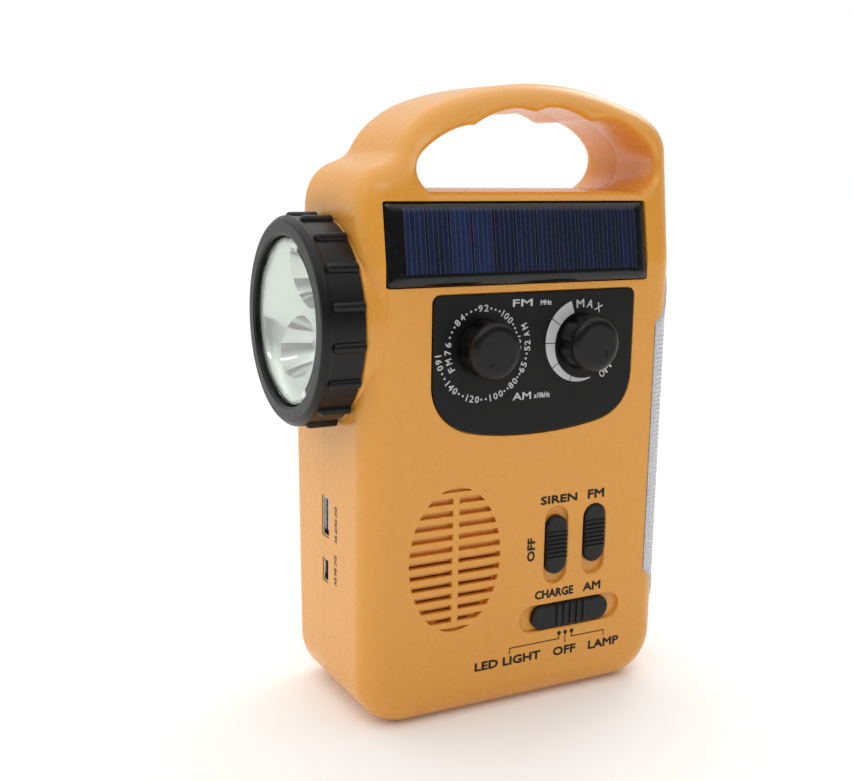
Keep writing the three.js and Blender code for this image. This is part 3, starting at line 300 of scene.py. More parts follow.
def stack(name, rings, axis="y"):
    """A closed body through (outline, depth) rings, capped at both ends."""
    put = AXES[axis]
    count = len(rings[0][0])
    points = [put(p[0], p[1], depth) for outline, depth in rings for p in outline]
    faces = [tuple(range(count)), tuple(reversed(range(len(points) - count, len(points))))]
    for ring in range(len(rings) - 1):
        for k in range(count):
            here, beside = ring * count + k, ring * count + (k + 1) % count
            faces.append((here, here + count, beside + count, beside))
    return solid(name, points, faces)


def end_rings(outline, depth, rim, reach, inward, steps):
    """Rings of one end, from the cap to the wall. A positive rim rounds a solid's end; a negative
    one flares it, which rounds the rim of a hole. inward is +1 at the near end and -1 at the far."""
    rings, size = [], abs(rim)
    for k in range(steps + 1 if rim else 0):
        a = pi / 2 * (k / steps if rim > 0 else 1 - k / steps)
        if rim > 0:
            rings.append((inset(outline, size * (1 - sin(a))), depth + inward * size * (1 - cos(a))))
        else:
            rings.append((inset(outline, -size * (1 - cos(a))), depth + inward * size * (1 - sin(a))))
    if not rim:
        rings.append((outline, depth))
    if reach:
        rings.insert(0, (rings[0][0], depth - inward * reach))
    return rings


def block(name, outline, d0, d1, rim0=0.0, rim1=0.0, reach0=0.0, reach1=0.0, axis="y", steps=4):
    """An outline run from depth d0 to d1."""
    near = end_rings(outline, d0, rim0, reach0, 1, steps)
    far = end_rings(outline, d1, rim1, reach1, -1, steps)
    return stack(name, near + far[::-1], axis)


def box(name, x0, x1, y0, y1, z0, z1):
    return block(name, rectangle(x0, x1, z0, z1), y0, y1)


def bar(name, x, z, wide, high, y0, y1):
    """A box about (x, z) that reaches wide and high to each side."""
    return box(name, x - wide, x + wide, y0, y1, z - high, z + high)


def turned(name, profile, axis, centre, segments=64):
    """A turned solid. profile is a closed loop of (radius, distance along the axis)."""
    points, rings = [], []
    for radius, distance in profile:
        if radius < 1e-6:
            rings.append([len(points)] * segments)
            points.append((0, 0, distance))
            continue
        rings.append(list(range(len(points), len(points) + segments)))
        points += [(*point, distance) for point in disc(0, 0, radius, segments)]
    faces = []
    for i, ring in enumerate(rings):
        onward = rings[(i + 1) % len(rings)]
        for k in range(segments):
            j = (k + 1) % segments
            corners = list(dict.fromkeys((ring[k], ring[j], onward[j], onward[k])))
            if len(corners) > 2:
                faces.append(tuple(corners))
    order = {"x": (2, 0, 1), "y": (1, 2, 0), "z": (0, 1, 2)}[axis]
    placed = [tuple(p[order[i]] + centre[i] for i in range(3)) for p in points]
    return solid(name, placed, faces)


def rod(name, radius, axis, centre, d0, d1, segments=48, rim=0.0):
    profile = rounded([(0, d0, 0), (radius, d0, rim), (radius, d1, rim), (0, d1, 0)], 4)
    return turned(name, profile, axis, centre, segments)


def with_modifiers(obj):
    """The object's mesh with its modifiers applied."""
    graph = bpy.context.evaluated_depsgraph_get()
    return bpy.data.meshes.new_from_object(obj.evaluated_get(graph), depsgraph=graph)


def combine(base, tools, how, keep=False):
    """Adds, cuts or intersects the base with each tool, and drops the tools unless kept."""
    for tool in tools:
        modifier = base.modifiers.new("combine", "BOOLEAN")
        modifier.operation, modifier.solver, modifier.object = how, "MANIFOLD", tool
        old, mesh = base.data, with_modifiers(base)
        base.modifiers.clear()
        base.data = mesh
        bpy.data.meshes.remove(old)
        if not keep:
            bpy.data.objects.remove(tool)
    return base


def cut(base, *tools):
    return combine(base, tools, "DIFFERENCE")


def add(base, *tools):
    return combine(base, tools, "UNION")


def common(base, tool, keep=False):
    return combine(base, [tool], "INTERSECT", keep)


def together(name, parts):
    """Several bodies that don't touch, as one object."""
    bm = bmesh.new()
    for part in parts:
        bm.from_mesh(part.data)
        bpy.data.objects.remove(part)
    return shown(name, baked(name, bm))


def copied(obj, name):
    return shown(name, obj.data.copy())


def reshape(obj, rule):
    """Moves every point of the mesh by a rule on its (x, y, z)."""
    for vertex in obj.data.vertices:
        vertex.co = rule(vertex.co)
    obj.data.update()
    return obj


def split_at(obj, heights):
    bm = bmesh.new()
    bm.from_mesh(obj.data)
    for height in heights:
        geometry = bm.verts[:] + bm.edges[:] + bm.faces[:]
        bmesh.ops.bisect_plane(bm, geom=geometry, plane_co=(0, 0, height), plane_no=(0, 0, 1))
    bm.to_mesh(obj.data)
    bm.free()
    return obj


# ---- Leaning faces ------------------------------------------------------------------------
SOFT_KINK = 2.0


def ramp(height):
    """Zero below the kink and a slope of one above it, softened over SOFT_KINK each way."""
    if height <= -SOFT_KINK:
        return 0.0
    return height if height >= SOFT_KINK else (height + SOFT_KINK) ** 2 / (4 * SOFT_KINK)


def rear_shift(z):
    return -REAR_LEAN_UP * ramp(z - REAR_KINK) - REAR_LEAN_DOWN * ramp(REAR_KINK - z)


def rear_surface(z):
    return REAR_Y + rear_shift(z)


def leaned(obj):
    def rule(p):
        shift = FRONT_LEAN * ramp(p.z - FRONT_KINK) if p.y < 0 else rear_shift(p.z)
        return Vector((p.x, p.y + shift, p.z))

    kinks = [k + s for k in (REAR_KINK, FRONT_KINK) for s in (-2, -1, 0, 1, 2)]
    return reshape(split_at(obj, kinks), rule)


def lean_rear(obj, limit=0):
    """Leans what lies behind the given depth with the rear face."""
    return reshape(obj, lambda p: Vector((p.x, p.y + (rear_shift(p.z) if p.y > limit else 0), p.z)))


def lean_panel(obj, limit=-60):
    """Leans what lies behind the given depth with the solar panel."""
    return reshape(obj, lambda p: Vector((
        p.x, p.y + (PANEL.lean * (p.z - PANEL.z0) if p.y > limit else 0), p.z)))


# ---- Materials ----------------------------------------------------------------------------
def linear(colour):
    """An 8-bit sRGB colour as linear light."""
    def one(c):
        c /= 255
        return c / 12.92 if c <= 0.04045 else ((c + 0.055) / 1.055) ** 2.4
    return tuple(one(c) for c in colour)


def map_range(tree, value, low, high, start, end):
    """The value between start and end, laid out from low to high."""
    node = tree.nodes.new("ShaderNodeMapRange")
    for key, number in (("From Min", start), ("From Max", end), ("To Min", low), ("To Max", high)):
        node.inputs[key].default_value = number
    tree.links.new(value, node.inputs["Value"])
    return node.outputs["Result"]


class Nodes:
    """Short names for building one material's node tree."""

    def __init__(self, name):
        self.material = bpy.data.materials.new(name)
        self.material.use_nodes = True
        self.tree = self.material.node_tree
        self.shader = self.tree.nodes["Principled BSDF"]
        self.place = self.new("ShaderNodeTexCoord").outputs["Object"]

    def new(self, kind, **settings):
        node = self.tree.nodes.new(kind)
        for key, value in settings.items():
            setattr(node, key, value)
        return node

    def link(self, source, target):
        self.tree.links.new(source, target)

    def noise(self, size_mm, detail=2.0, stretch=(1, 1, 1)):
        """Soft noise whose features are size_mm across, stretched along an axis if asked."""
        scale = self.new("ShaderNodeMapping")
        scale.inputs["Scale"].default_value = [1 / (size_mm * MM * s) for s in stretch]
        self.link(self.place, scale.inputs["Vector"])
        noise = self.new("ShaderNodeTexNoise")
        noise.inputs["Scale"].default_value = 1
        noise.inputs["Detail"].default_value = detail
        self.link(scale.outputs[0], noise.inputs["Vector"])
        return noise.outputs["Fac"]

    def spread(self, value, low, high, start=0.3, end=0.7):
        return map_range(self.tree, value, low, high, start, end)

    def math(self, operation, a, b=None):
        node = self.new("ShaderNodeMath", operation=operation)
        for socket, value in zip(node.inputs, (a, b)):
            if isinstance(value, (int, float)):
                socket.default_value = value
            elif value is not None:
                self.link(value, socket)
        return node.outputs[0]

    def blend(self, factor, a, b):
        node = self.new("ShaderNodeMix", data_type="RGBA")
        self.link(factor, node.inputs["Factor"])
        for socket, value in ((node.inputs[6], a), (node.inputs[7], b)):
            if isinstance(value, tuple):
                socket.default_value = (*value, 1)
            else:
                self.link(value, socket)
        return node.outputs[2]

    def bump(self, height, distance_mm):
        node = self.new("ShaderNodeBump")
        node.inputs["Distance"].default_value = distance_mm * MM
        node.inputs["Strength"].default_value = 1.0
        self.link(height, node.inputs["Height"])
        return node.outputs["Normal"]

    def finish(self, colour=None, roughness=None, normal=None):
        for socket, value in (("Base Color", colour), ("Roughness", roughness), ("Normal", normal)):
            if value is not None:
                self.link(value, self.shader.inputs[socket])
        return self.material


def moulded(name, colour, roughness, grain, relief, mottle=0.04, edge_highlight=0.0, patch=0.05, **sockets):
    """Moulded plastic: fine spark-eroded grain, a little cloudiness, and convex edges painted paler as a
    painted highlight.
    """
    n = Nodes(name)
    base = linear(colour)
    cloud = n.spread(n.noise(14, 3), 0, 1)
    fleck = n.spread(n.noise(grain * 2.2, 2), 0, 1)
    dark = tuple(c * (1 - mottle) for c in base)
    pale = tuple(min(1, c * (1 + mottle)) for c in base)
    mixed = n.math("ADD", n.math("MULTIPLY", cloud, 0.6), n.math("MULTIPLY", fleck, 0.4))
    tint = n.blend(mixed, dark, pale)
    if edge_highlight:
        # Painted highlight: convex edges, found by pointiness, are painted paler than the base colour.
        edge = n.spread(n.new("ShaderNodeNewGeometry").outputs["Pointiness"], 0, edge_highlight, 0.52, 0.6)
        tint = n.blend(edge, tint, tuple(min(1, c * 1.6 + 0.02) for c in base))
    rough = n.spread(n.noise(3, 3), roughness - patch, roughness + patch)
    normal = n.bump(n.noise(grain, 3), relief)
    for key, value in sockets.items():
        n.shader.inputs[key.replace("_", " ")].default_value = value
    return n.finish(tint, rough, normal)


def metal(name, colour, roughness, brushed, grain, relief, mottle=0.08):
    """Bare metal: fine scratches along one axis, and a slightly uneven polish."""
    n = Nodes(name)
    base = linear(colour)
    streak = n.noise(grain, 4, brushed)
    tint = n.blend(n.spread(streak, 0, 1), tuple(c * (1 - mottle) for c in base), base)
    rough = n.spread(n.noise(2.5, 3, brushed), roughness * 0.7, roughness * 1.4)
    n.shader.inputs["Metallic"].default_value = 1
    return n.finish(tint, rough, n.bump(streak, relief))


def clear(name, tint, roughness, thickness_noise=0.002, size=6.0, through=1.0):
    """Clear moulded plastic with very slight flow waves."""
    n = Nodes(name)
    base = linear(tint)
    wave = n.noise(size, 2)
    colour = n.blend(n.spread(wave, 0, 1), tuple(c * 0.985 for c in base), base)
    n.shader.inputs["Transmission Weight"].default_value = through
    n.shader.inputs["IOR"].default_value = 1.49
    rough = n.spread(n.noise(1.5, 2), roughness * 0.6, roughness * 1.4)
    return n.finish(colour, rough, n.bump(wave, thickness_noise))


ORANGE = moulded("orange_shell", (234, 163, 64), 0.28, grain=0.3, relief=0.001, mottle=0.012, patch=0.015,
                 Specular_IOR_Level=0.5)
# Satin black and grip black have their convex edges painted paler: a painted highlight.
SATIN_BLACK = moulded("satin_black", (17, 17, 18), 0.34, grain=0.3, relief=0.01, mottle=0.12, edge_highlight=0.12,
                      Specular_IOR_Level=0.3)
HIGHLIT_GRIP_BLACK = moulded("grip_black", (16, 16, 17), 0.36, grain=0.28, relief=0.014, mottle=0.12, edge_highlight=0.15,
                       Specular_IOR_Level=0.3)
PLATE_BLACK = moulded("plate_black", (17, 16, 16), 0.45, grain=0.22, relief=0.006, mottle=0.08,
                      Specular_IOR_Level=0.24)
PRINT_GREY = moulded("print_grey", (205, 205, 207), 0.5, grain=0.15, relief=0.004, mottle=0.05)
PRINT_BLACK = moulded("print_black", (24, 20, 18), 0.5, grain=0.15, relief=0.004, mottle=0.1,
                      Specular_IOR_Level=0.25)
WHITE_PLASTIC = moulded("white_plastic", (224, 224, 219), 0.45, grain=0.5, relief=0.006)
PALE_TRAY = moulded("lamp_tray_white", (236, 236, 234), 0.3, grain=0.5, relief=0.006)
CELL_WRAP = moulded("cell_wrap", (52, 118, 66), 0.3, grain=1.2, relief=0.01, mottle=0.1)
PAPER = moulded("speaker_paper", (44, 43, 42), 0.9, grain=0.5, relief=0.05, mottle=0.2)
FERRITE = moulded("ferrite", (58, 54, 52), 0.6, grain=0.4, relief=0.02, mottle=0.15)
CHROME = metal("reflector_chrome", (208, 213, 208), 0.07, (1, 1, 1), 3, 0.001, 0.02)
BRIGHT = metal("bright_metal", (214, 214, 212), 0.2, (12, 1, 1), 0.4, 0.002)
STEEL = metal("steel", (172, 172, 170), 0.32, (8, 1, 1), 0.4, 0.004)
BRASS = metal("brass", (200, 164, 88), 0.35, (1, 8, 1), 0.4, 0.004)
CLEAR_LENS = clear("clear_lens", (246, 250, 247), 0.02)
LAMP_CLEAR = clear("lamp_plastic", (230, 230, 236), 0.24, thickness_noise=0.001, size=3.0, through=0.25)


def copper_wire():
    """Enamelled wire wound round the rod, turn beside turn, with painted shade in the grooves between
    turns and painted highlights on their tops.
    """
    n = Nodes("copper_wire")
    split = n.new("ShaderNodeSeparateXYZ")
    n.link(n.place, split.inputs[0])
    turns = n.math("SINE", n.math("MULTIPLY", split.outputs["X"], 2 * pi / (0.4 * MM)))
    # Painted shade and highlight: the colour follows the turns' bump, dark in the grooves and light on
    # the tops.
    tint = n.blend(n.spread(turns, 0, 1, -1, 1), linear((120, 58, 30)), linear((206, 122, 76)))
    n.shader.inputs["Metallic"].default_value = 1
    n.shader.inputs["Roughness"].default_value = 0.32
    return n.finish(tint, normal=n.bump(turns, 0.1))


def circuit_board():
    """Green solder mask with tracks just showing under it."""
    n = Nodes("circuit_board")
    cells = n.new("ShaderNodeTexVoronoi", feature="DISTANCE_TO_EDGE", distance="MANHATTAN")
    cells.inputs["Scale"].default_value = 260
    n.link(n.place, cells.inputs["Vector"])
    track = n.spread(cells.outputs["Distance"], 1, 0, 0.04, 0.09)
    tint = n.blend(track, linear((26, 92, 52)), linear((54, 132, 76)))
    return n.finish(tint, n.spread(n.noise(4), 0.28, 0.42), n.bump(track, 0.03))


def led_epoxy():
    n = Nodes("led_epoxy")
    glow = n.spread(n.noise(1.2, 2), 0, 1)
    tint = n.blend(glow, linear((236, 236, 214)), linear((250, 250, 246)))
    n.shader.inputs["Transmission Weight"].default_value = 0.55
    n.shader.inputs["Roughness"].default_value = 0.08
    return n.finish(tint, normal=n.bump(glow, 0.004))


def solar_cell():
    """Navy cells under glossy resin: dark gaps between cells, thin silver grid lines on each, and a
    painted reflection that makes the left-hand cells lighter than the right-hand ones.
    """
    n = Nodes("solar_cell")
    split = n.new("ShaderNodeSeparateXYZ")
    n.link(n.place, split.inputs[0])
    x0, x1 = (PANEL.x0 + 5.4) * MM, (PANEL.x1 - 4.6) * MM
    z0, z1 = (PANEL.z0 + 3.9) * MM, (PANEL.z1 - 1.6) * MM
    pitch = (x1 - x0) / 11
    across = n.math("DIVIDE", n.math("SUBTRACT", split.outputs["X"], x0), pitch)
    cell = n.math("FRACT", across)
    gap = n.math("GREATER_THAN", n.math("ABSOLUTE", n.math("SUBTRACT", cell, 0.5)), 0.462)
    line = n.math("FRACT", n.math("ADD", n.math("MULTIPLY", cell, 4.6), 0.2))
    grid = n.math("LESS_THAN", n.math("ABSOLUTE", n.math("SUBTRACT", line, 0.5)), 0.035)
    inside = 1.0
    for value, low, high in ((split.outputs["X"], x0, x1), (split.outputs["Z"], z0, z1)):
        inside = n.math("MULTIPLY", n.math("GREATER_THAN", value, low), inside)
        inside = n.math("MULTIPLY", n.math("LESS_THAN", value, high), inside)
    front = n.math("LESS_THAN", split.outputs["Y"], (FRONT_Y + 7.0) * MM)
    inside = n.math("MULTIPLY", inside, front)
    number = n.math("FLOOR", across)
    shade = n.new("ShaderNodeTexWhiteNoise", noise_dimensions="1D")
    n.link(number, shade.inputs["W"])
    crystal = n.noise(5, 3, (0.25, 1, 6))
    mix = n.math("ADD", n.math("MULTIPLY", shade.outputs["Value"], 0.45),
                 n.math("MULTIPLY", n.spread(crystal, 0, 1), 0.55))
    # Painted reflection: the cells are painted lighter on the left and darker towards the right.
    fade = n.spread(across, 1.0, 0.0, 3.5, 7.0)
    mix = n.math("MULTIPLY", mix, n.math("ADD", n.math("MULTIPLY", fade, 0.6), 0.4))
    navy = n.blend(mix, linear((16, 19, 36)), linear((32, 46, 88)))
    lined = n.blend(n.math("MULTIPLY", grid, 0.4), navy, linear((128, 136, 152)))
    black = linear((8, 9, 12))
    celled = n.blend(gap, lined, black)
    tint = n.blend(inside, black, celled)
    n.shader.inputs["Specular IOR Level"].default_value = 0.25
    n.shader.inputs["Coat Weight"].default_value = 0.4
    n.shader.inputs["Coat Roughness"].default_value = 0.05
    ripple = n.noise(9, 2)
    return n.finish(tint, n.spread(n.noise(2), 0.24, 0.36), n.bump(ripple, 0.02))


COPPER = copper_wire()
BOARD = circuit_board()
LED = led_epoxy()
SOLAR = solar_cell()


# ---- Finishing a piece and attaching it to its body -----------------------------------------
def hand_over(obj, material, body, node, angle=32):
    """Scales a piece from millimetres, shades it smooth between sharp creases, and says what it
    rides on and which node it replaces, if any."""
    mesh = obj.data
    mesh.transform(Matrix.Scale(MM, 4))
    mesh.materials.clear()
    mesh.materials.append(material)
    mesh.shade_smooth()
    mesh.set_sharp_from_angle(angle=radians(angle))
    obj.modifiers.new("weigh", "WEIGHTED_NORMAL").keep_sharp = True
    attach(obj, body)
    if node:
        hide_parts(node)


# ---- Housing ------------------------------------------------------------------------------
def grille_oval(rx, rz, y0, y1):
    return block("oval", oval(GRILLE.x, GRILLE.z, rx, rz, 96), y0, y1)


def grille_cells(slits=False):
    """The grille's openings: shallow pockets in two columns, or narrow slits in the lower rows."""
    g = GRILLE
    near, far = FRONT_Y - 1, FRONT_Y + (WALL + 1 if slits else 1.8)
    boxes = []
    for row in range(5 if slits else 0, g.rows):
        low = g.z + g.pitch * (g.rows / 2 - 0.5 - row) - g.slot / 2
        top = low + (0.55 if slits else g.slot)
        for side in (-1, 1):
            inner, outer = g.x + side * g.bar / 2, g.x + side * (g.rx + 2)
            boxes.append(box("cell", min(inner, outer), max(inner, outer), near, far, low, top))
    rx, rz = (15.8, 22.0) if slits else (g.rx, g.rz)
    return common(together("cells", boxes), grille_oval(rx, rz, near - 1, far + 1))


def grille_crescents():
    """Shallow marks above and below the rows."""
    g = GRILLE
    reach, wide = g.pitch * g.rows / 2 + 0.9, g.rx + 1
    ends = together("ends", [
        box("end", g.x - wide, g.x + wide, FRONT_Y - 3, FRONT_Y + 3, g.z + low, g.z + high)
        for low, high in ((reach, 30), (-30, -reach))])
    return common(ends, grille_oval(g.rx, g.rz, FRONT_Y - 2, FRONT_Y + 1.2))


def grip_opening(name, grow, front_rim=0.0, rear_rim=0.0):
    """The opening under the handle. It drifts to the right as far as the parting line."""
    outline, middle = grip_outline(grow), PARTING + GAP
    front = block(name, outline, FRONT_Y - 0.02, 60, rim0=-front_rim, reach0=8, steps=8)
    slope = GRIP_DRIFT / (PARTING - GRIP_MOUTH_Y)

    def front_rule(p):
        y = p.y + FRONT_LEAN * (p.z - FRONT_KINK)
        return Vector((p.x + slope * (y - GRIP_MOUTH_Y), y, p.z))

    reshape(front, front_rule)
    rear = block(name, outline, -60, REAR_Y + 0.02, rim1=-rear_rim, reach1=8, steps=8)
    reshape(rear, lambda p: Vector((p.x + GRIP_DRIFT, p.y - REAR_LEAN_UP * (p.z - REAR_KINK), p.z)))
    common(front, box("front_half", -120, 120, -90, middle, 100, 260))
    common(rear, box("rear_half", -120, 120, middle, 90, 100, 260))
    return front, rear


def shaft_holes(y0, y1):
    return together("shaft_holes", [
        rod("hole", SHAFT_HOLE_R, "y", (x, 0, KNOB_Z), y0, y1) for x in (TUNING_X, VOLUME_X)])


def front_cutters():
    cutters = [
        block("plate_seat", inset(plate_outline(), -GAP), FRONT_Y, FRONT_Y + PLATE_SINK, rim0=-0.3,
              reach0=3, steps=3),
        shaft_holes(FRONT_Y - 2, FRONT_Y + 5), grille_cells(), grille_cells(True), grille_crescents()]
    p = PANEL
    pocket = block("panel_pocket", rectangle(p.x0 - GAP, p.x1 + GAP, p.z0 - GAP, p.z1 + GAP, 0.8),
                   FRONT_Y - 6, FRONT_Y + p.thick + 0.2)
    cutters.append(lean_panel(split_at(pocket, [150, 160]), FRONT_Y))
    recesses, stems = [], []
    for s in SWITCHES.values():
        recesses.append(block("recess", oblong(s.x, s.z, s.length, SWITCH_WIDE, s.upright),
                              FRONT_Y, FRONT_Y + RECESS, rim0=-0.5, rim1=0.3, reach0=3))
        wide, high = (1.8, 6.2) if s.upright else (6.2, 1.8)
        stems.append(bar("stem_slot", s.x, s.z, wide, high, FRONT_Y, FRONT_Y + 5))
    return cutters + [together("recesses", recesses), together("stem_slots", stems)]


def rear_cutters():
    dish = lean_rear(block("dish", disc(DISH.x, DISH.z, DISH.r, 128), DISH.floor, REAR_Y + 0.02,
                           rim0=1.5, rim1=-1.2, reach1=6), 24)
    wide = DOOR.x + GAP
    door = lean_rear(split_at(block(
        "door_seat", rectangle(-wide, wide, DOOR.z0 - GAP, DOOR.z1 + GAP, 0.5),
        REAR_Y - DOOR.thick - GAP, REAR_Y + 3), [20, 35]))
    opening = box("door_opening", -27.2, 27.2, 20, 40, 13, 49)
    bay = box("bay", -28.4, 28.4, 10.1, 25.1, 6.5, 51.3)
    wells = together("wells", [
        rod("well", 3.1, "y", (x, 0, z), rear_surface(z) - SCREW_SINK, 60) for x, z in SCREWS])
    a = ANTENNA
    groove = rod("groove", a.radii[0] + 0.7, "x", (0, a.y, a.z), a.x - 7, 54)
    pocket = rod("pocket", 8.4, "y", (a.x - 3, 0, a.z), a.y - 4.6, 60, 64)
    shaft = rod("shaft_hole", 3.4, "y", (DISH.x, 0, DISH.z), 10, 30)
    return [dish, door, opening, bay, wells, groove, pocket, shaft]


def side_cutters():
    bore = rod("bore", TORCH.bore, "x", (0, 0, TORCH.z), -74, -44, 96)
    window = block("window", lamp_outline(GAP), LAMP.x - GAP, 66, axis="x")
    mouths = together("mouths", [
        block("mouth", rectangle(-s.wide / 2 - GAP, s.wide / 2 + GAP, s.z - s.high / 2 - GAP,
                                 s.z + s.high / 2 + GAP, 0.5), -HALF_W - 3, -HALF_W + 6, axis="x")
        for s in SOCKETS])
    return [bore, window, mouths]


def build_housing():
    outer = leaned(block("outer", body_outline(), FRONT_Y, REAR_Y, EDGE, EDGE, steps=9))
    swelling = turned("swelling", rounded([
        (0, TORCH.neck, 0), (33.0, TORCH.neck, 1.2), (31.5, -46.5, 0.5), (0, -46.5, 0)]),
        "x", (0, 0, TORCH.z), 128)
    outer = add(outer, swelling)
    inside = leaned(block("inside", inset(body_outline(), WALL), FRONT_Y + WALL, REAR_Y - WALL,
                          EDGE - WALL, EDGE - WALL, steps=4))
    inside = cut(inside, *grip_opening("grip_wall", WALL))
    shell = cut(copied(outer, "shell"), inside)
    cup = common(rod("dish_cup", DISH.r + 2, "y", (DISH.x, 0, DISH.z), DISH.floor - 2.4, 60, 96),
                 outer, keep=True)
    bay = common(box("bay_walls", -30, 30, 8.5, 40, 2, 52.9), outer, keep=True)
    bosses = together("bosses", [
        rod("boss", 4.4, "y", (x, 0, z), 4, rear_surface(z) - 1) for x, z in SCREWS])
    p = PANEL
    backing = block("backing", rectangle(p.x0 - 2, p.x1 + 2, p.z0 - 2, p.z1 + 1),
                    FRONT_Y + 1, FRONT_Y + p.thick + 2.2)
    backing = common(lean_panel(split_at(backing, [150, 160]), FRONT_Y + 2), outer)
    shell = add(shell, cup, bay, bosses, backing)
    shell = cut(shell, *grip_opening("grip", 0, 4.0, 6.0), *front_cutters(), *rear_cutters(),
                *side_cutters())
    front = common(copied(shell, "front_shell"), box("ahead", -100, 100, -60, PARTING, -5, 240))
    rear = common(shell, box("behind", -100, 100, PARTING + SEAM, 60, -5, 240))
    rear.name = "rear_shell"
    hand_over(front, ORANGE, "root", "front_housing")
    hand_over(rear, ORANGE, "root", "rear_housing")


build_housing()


# ---- Front face ---------------------------------------------------------------------------
def build_panel():
    """A printed cell sheet under a domed layer of clear resin, with a broad soft edge."""
    p = PANEL
    face = FRONT_Y - p.proud
    dome = ((5.2, 0), (4.2, 0.03), (3.2, 0.16), (2.2, 0.42), (1.3, 0.8), (0.55, 1.25), (0.12, 1.7),
            (0, 2.2))
    rings = []
    for back, depth in dome + ((0, p.proud + p.thick),):
        high = 0.7 * back
        outline = rectangle(p.x0 + back, p.x1 - back, p.z0 + high, p.z1 - high, 1.2 + 0.4 * back, 6)
        rings.append((outline, face + depth))
    body = stack("solar_panel_glass", rings)
    lean_panel(body)
    hand_over(body, SOLAR, "root", "solar_panel", 40)


def build_plate():
    plate = block("control_face", plate_outline(), PLATE_FACE, PLATE_FACE + PLATE_THICK, rim0=0.45)
    cut(plate, shaft_holes(PLATE_FACE - 1, PLATE_FACE + 3))
    hand_over(plate, PLATE_BLACK, "root", "control_plate")


def knob_outline(x, radius, depth):
    """A circle with six broad shallow finger hollows."""
    points = []
    for k in range(144):
        a = 2 * pi * k / 144
        hollow = max(0.0, cos(6 * a)) ** 2 * depth
        points.append(Vector((x + (radius - hollow) * cos(a), KNOB_Z + (radius - hollow) * sin(a))))
    return points


def build_knob(name, body, x, pointer):
    back = PLATE_FACE - GAP
    face = back - KNOB_DEEP
    rings = [(knob_outline(x, KNOB_R - shrink, hollow), face + depth) for depth, shrink, hollow in (
        (0, 3.0, 0), (0.1, 2.1, 0), (0.4, 1.2, 0), (0.9, 0.55, 0), (1.6, 0.18, 0), (2.4, 0.02, 0),
        (3.0, 0, 0.15), (3.6, 0, 0.6), (4.3, 0, 1.0), (5.2, 0, 1.15), (KNOB_DEEP, -0.12, 1.15))]
    knob = stack(name, rings)
    add(knob, rod("shaft", SHAFT_R, "y", (x, 0, KNOB_Z), back - 1, -24))
    ahead = heading(radians(pointer))
    tip, beside = Vector((x, KNOB_Z)) + ahead * 5.6, Vector((-ahead.y, ahead.x))
    mark = [tip, tip - ahead * 2.5 + beside * 1.4, tip - ahead * 2.5 - beside * 1.4]
    cut(knob, block("mark", mark, face - 1, face + 0.25))
    hand_over(knob, SATIN_BLACK, body, body)


def build_cap(name, node, s):
    """A thumb cap: a shallow oblong with rounded cross ribs, on a stem through the front wall."""
    x, z, upright = s.x, s.z + s.offset, s.upright
    face, under = FRONT_Y - CAP_PROUD + 0.35, FRONT_Y + RECESS - GAP
    cap = block(name, oblong(x, z, s.cap, SWITCH_WIDE - 0.8, upright), face, under, rim0=0.7, steps=5)
    pitch, count, thin = (1.45, 7, 0.85) if upright else (2.65, 5, 1.15)
    ribs = []
    for i in range(count):
        along = (i - (count - 1) / 2) * pitch
        at = (x, z + along) if upright else (x + along, z)
        ribs.append(block("rib", oblong(*at, SWITCH_WIDE - 0.9, thin, not upright, 6),
                          face - 0.6, face + 0.3, rim0=0.38))
    wide, high = (1.5, 2.5) if upright else (2.5, 1.5)
    add(cap, together("ribs", ribs), bar("stem", x, z, wide, high, under - 0.6, -25))
    hand_over(cap, SATIN_BLACK, s.body, node)


build_panel()
build_plate()
build_knob("tuning_dial_knob", "tuning_knob", TUNING_X, 236)
build_knob("volume_dial_knob", "volume_knob", VOLUME_X, 312)
for switch, details in SWITCHES.items():
    build_cap(switch + "_thumb_cap", switch + "_switch_button", details)


# ---- Print --------------------------------------------------------------------------------
def letters(text):
    """A word as flat outlines in its own units, with the middle of its box at the origin."""
    curve = bpy.data.curves.new("letters", "FONT")
    curve.body, curve.size, curve.resolution_u = text, 1.0, 2
    holder = shown("letters", curve)
    bpy.context.view_layer.update()
    mesh = with_modifiers(holder)
    bpy.data.objects.remove(holder)
    points = [Vector(v.co.xy) for v in mesh.vertices]
    low = Vector((min(p.x for p in points), min(p.y for p in points)))
    high = Vector((max(p.x for p in points), max(p.y for p in points)))
    faces = [tuple(f.vertices) for f in mesh.polygons]
    bpy.data.meshes.remove(mesh)
    return [p - (low + high) / 2 for p in points], faces, high - low


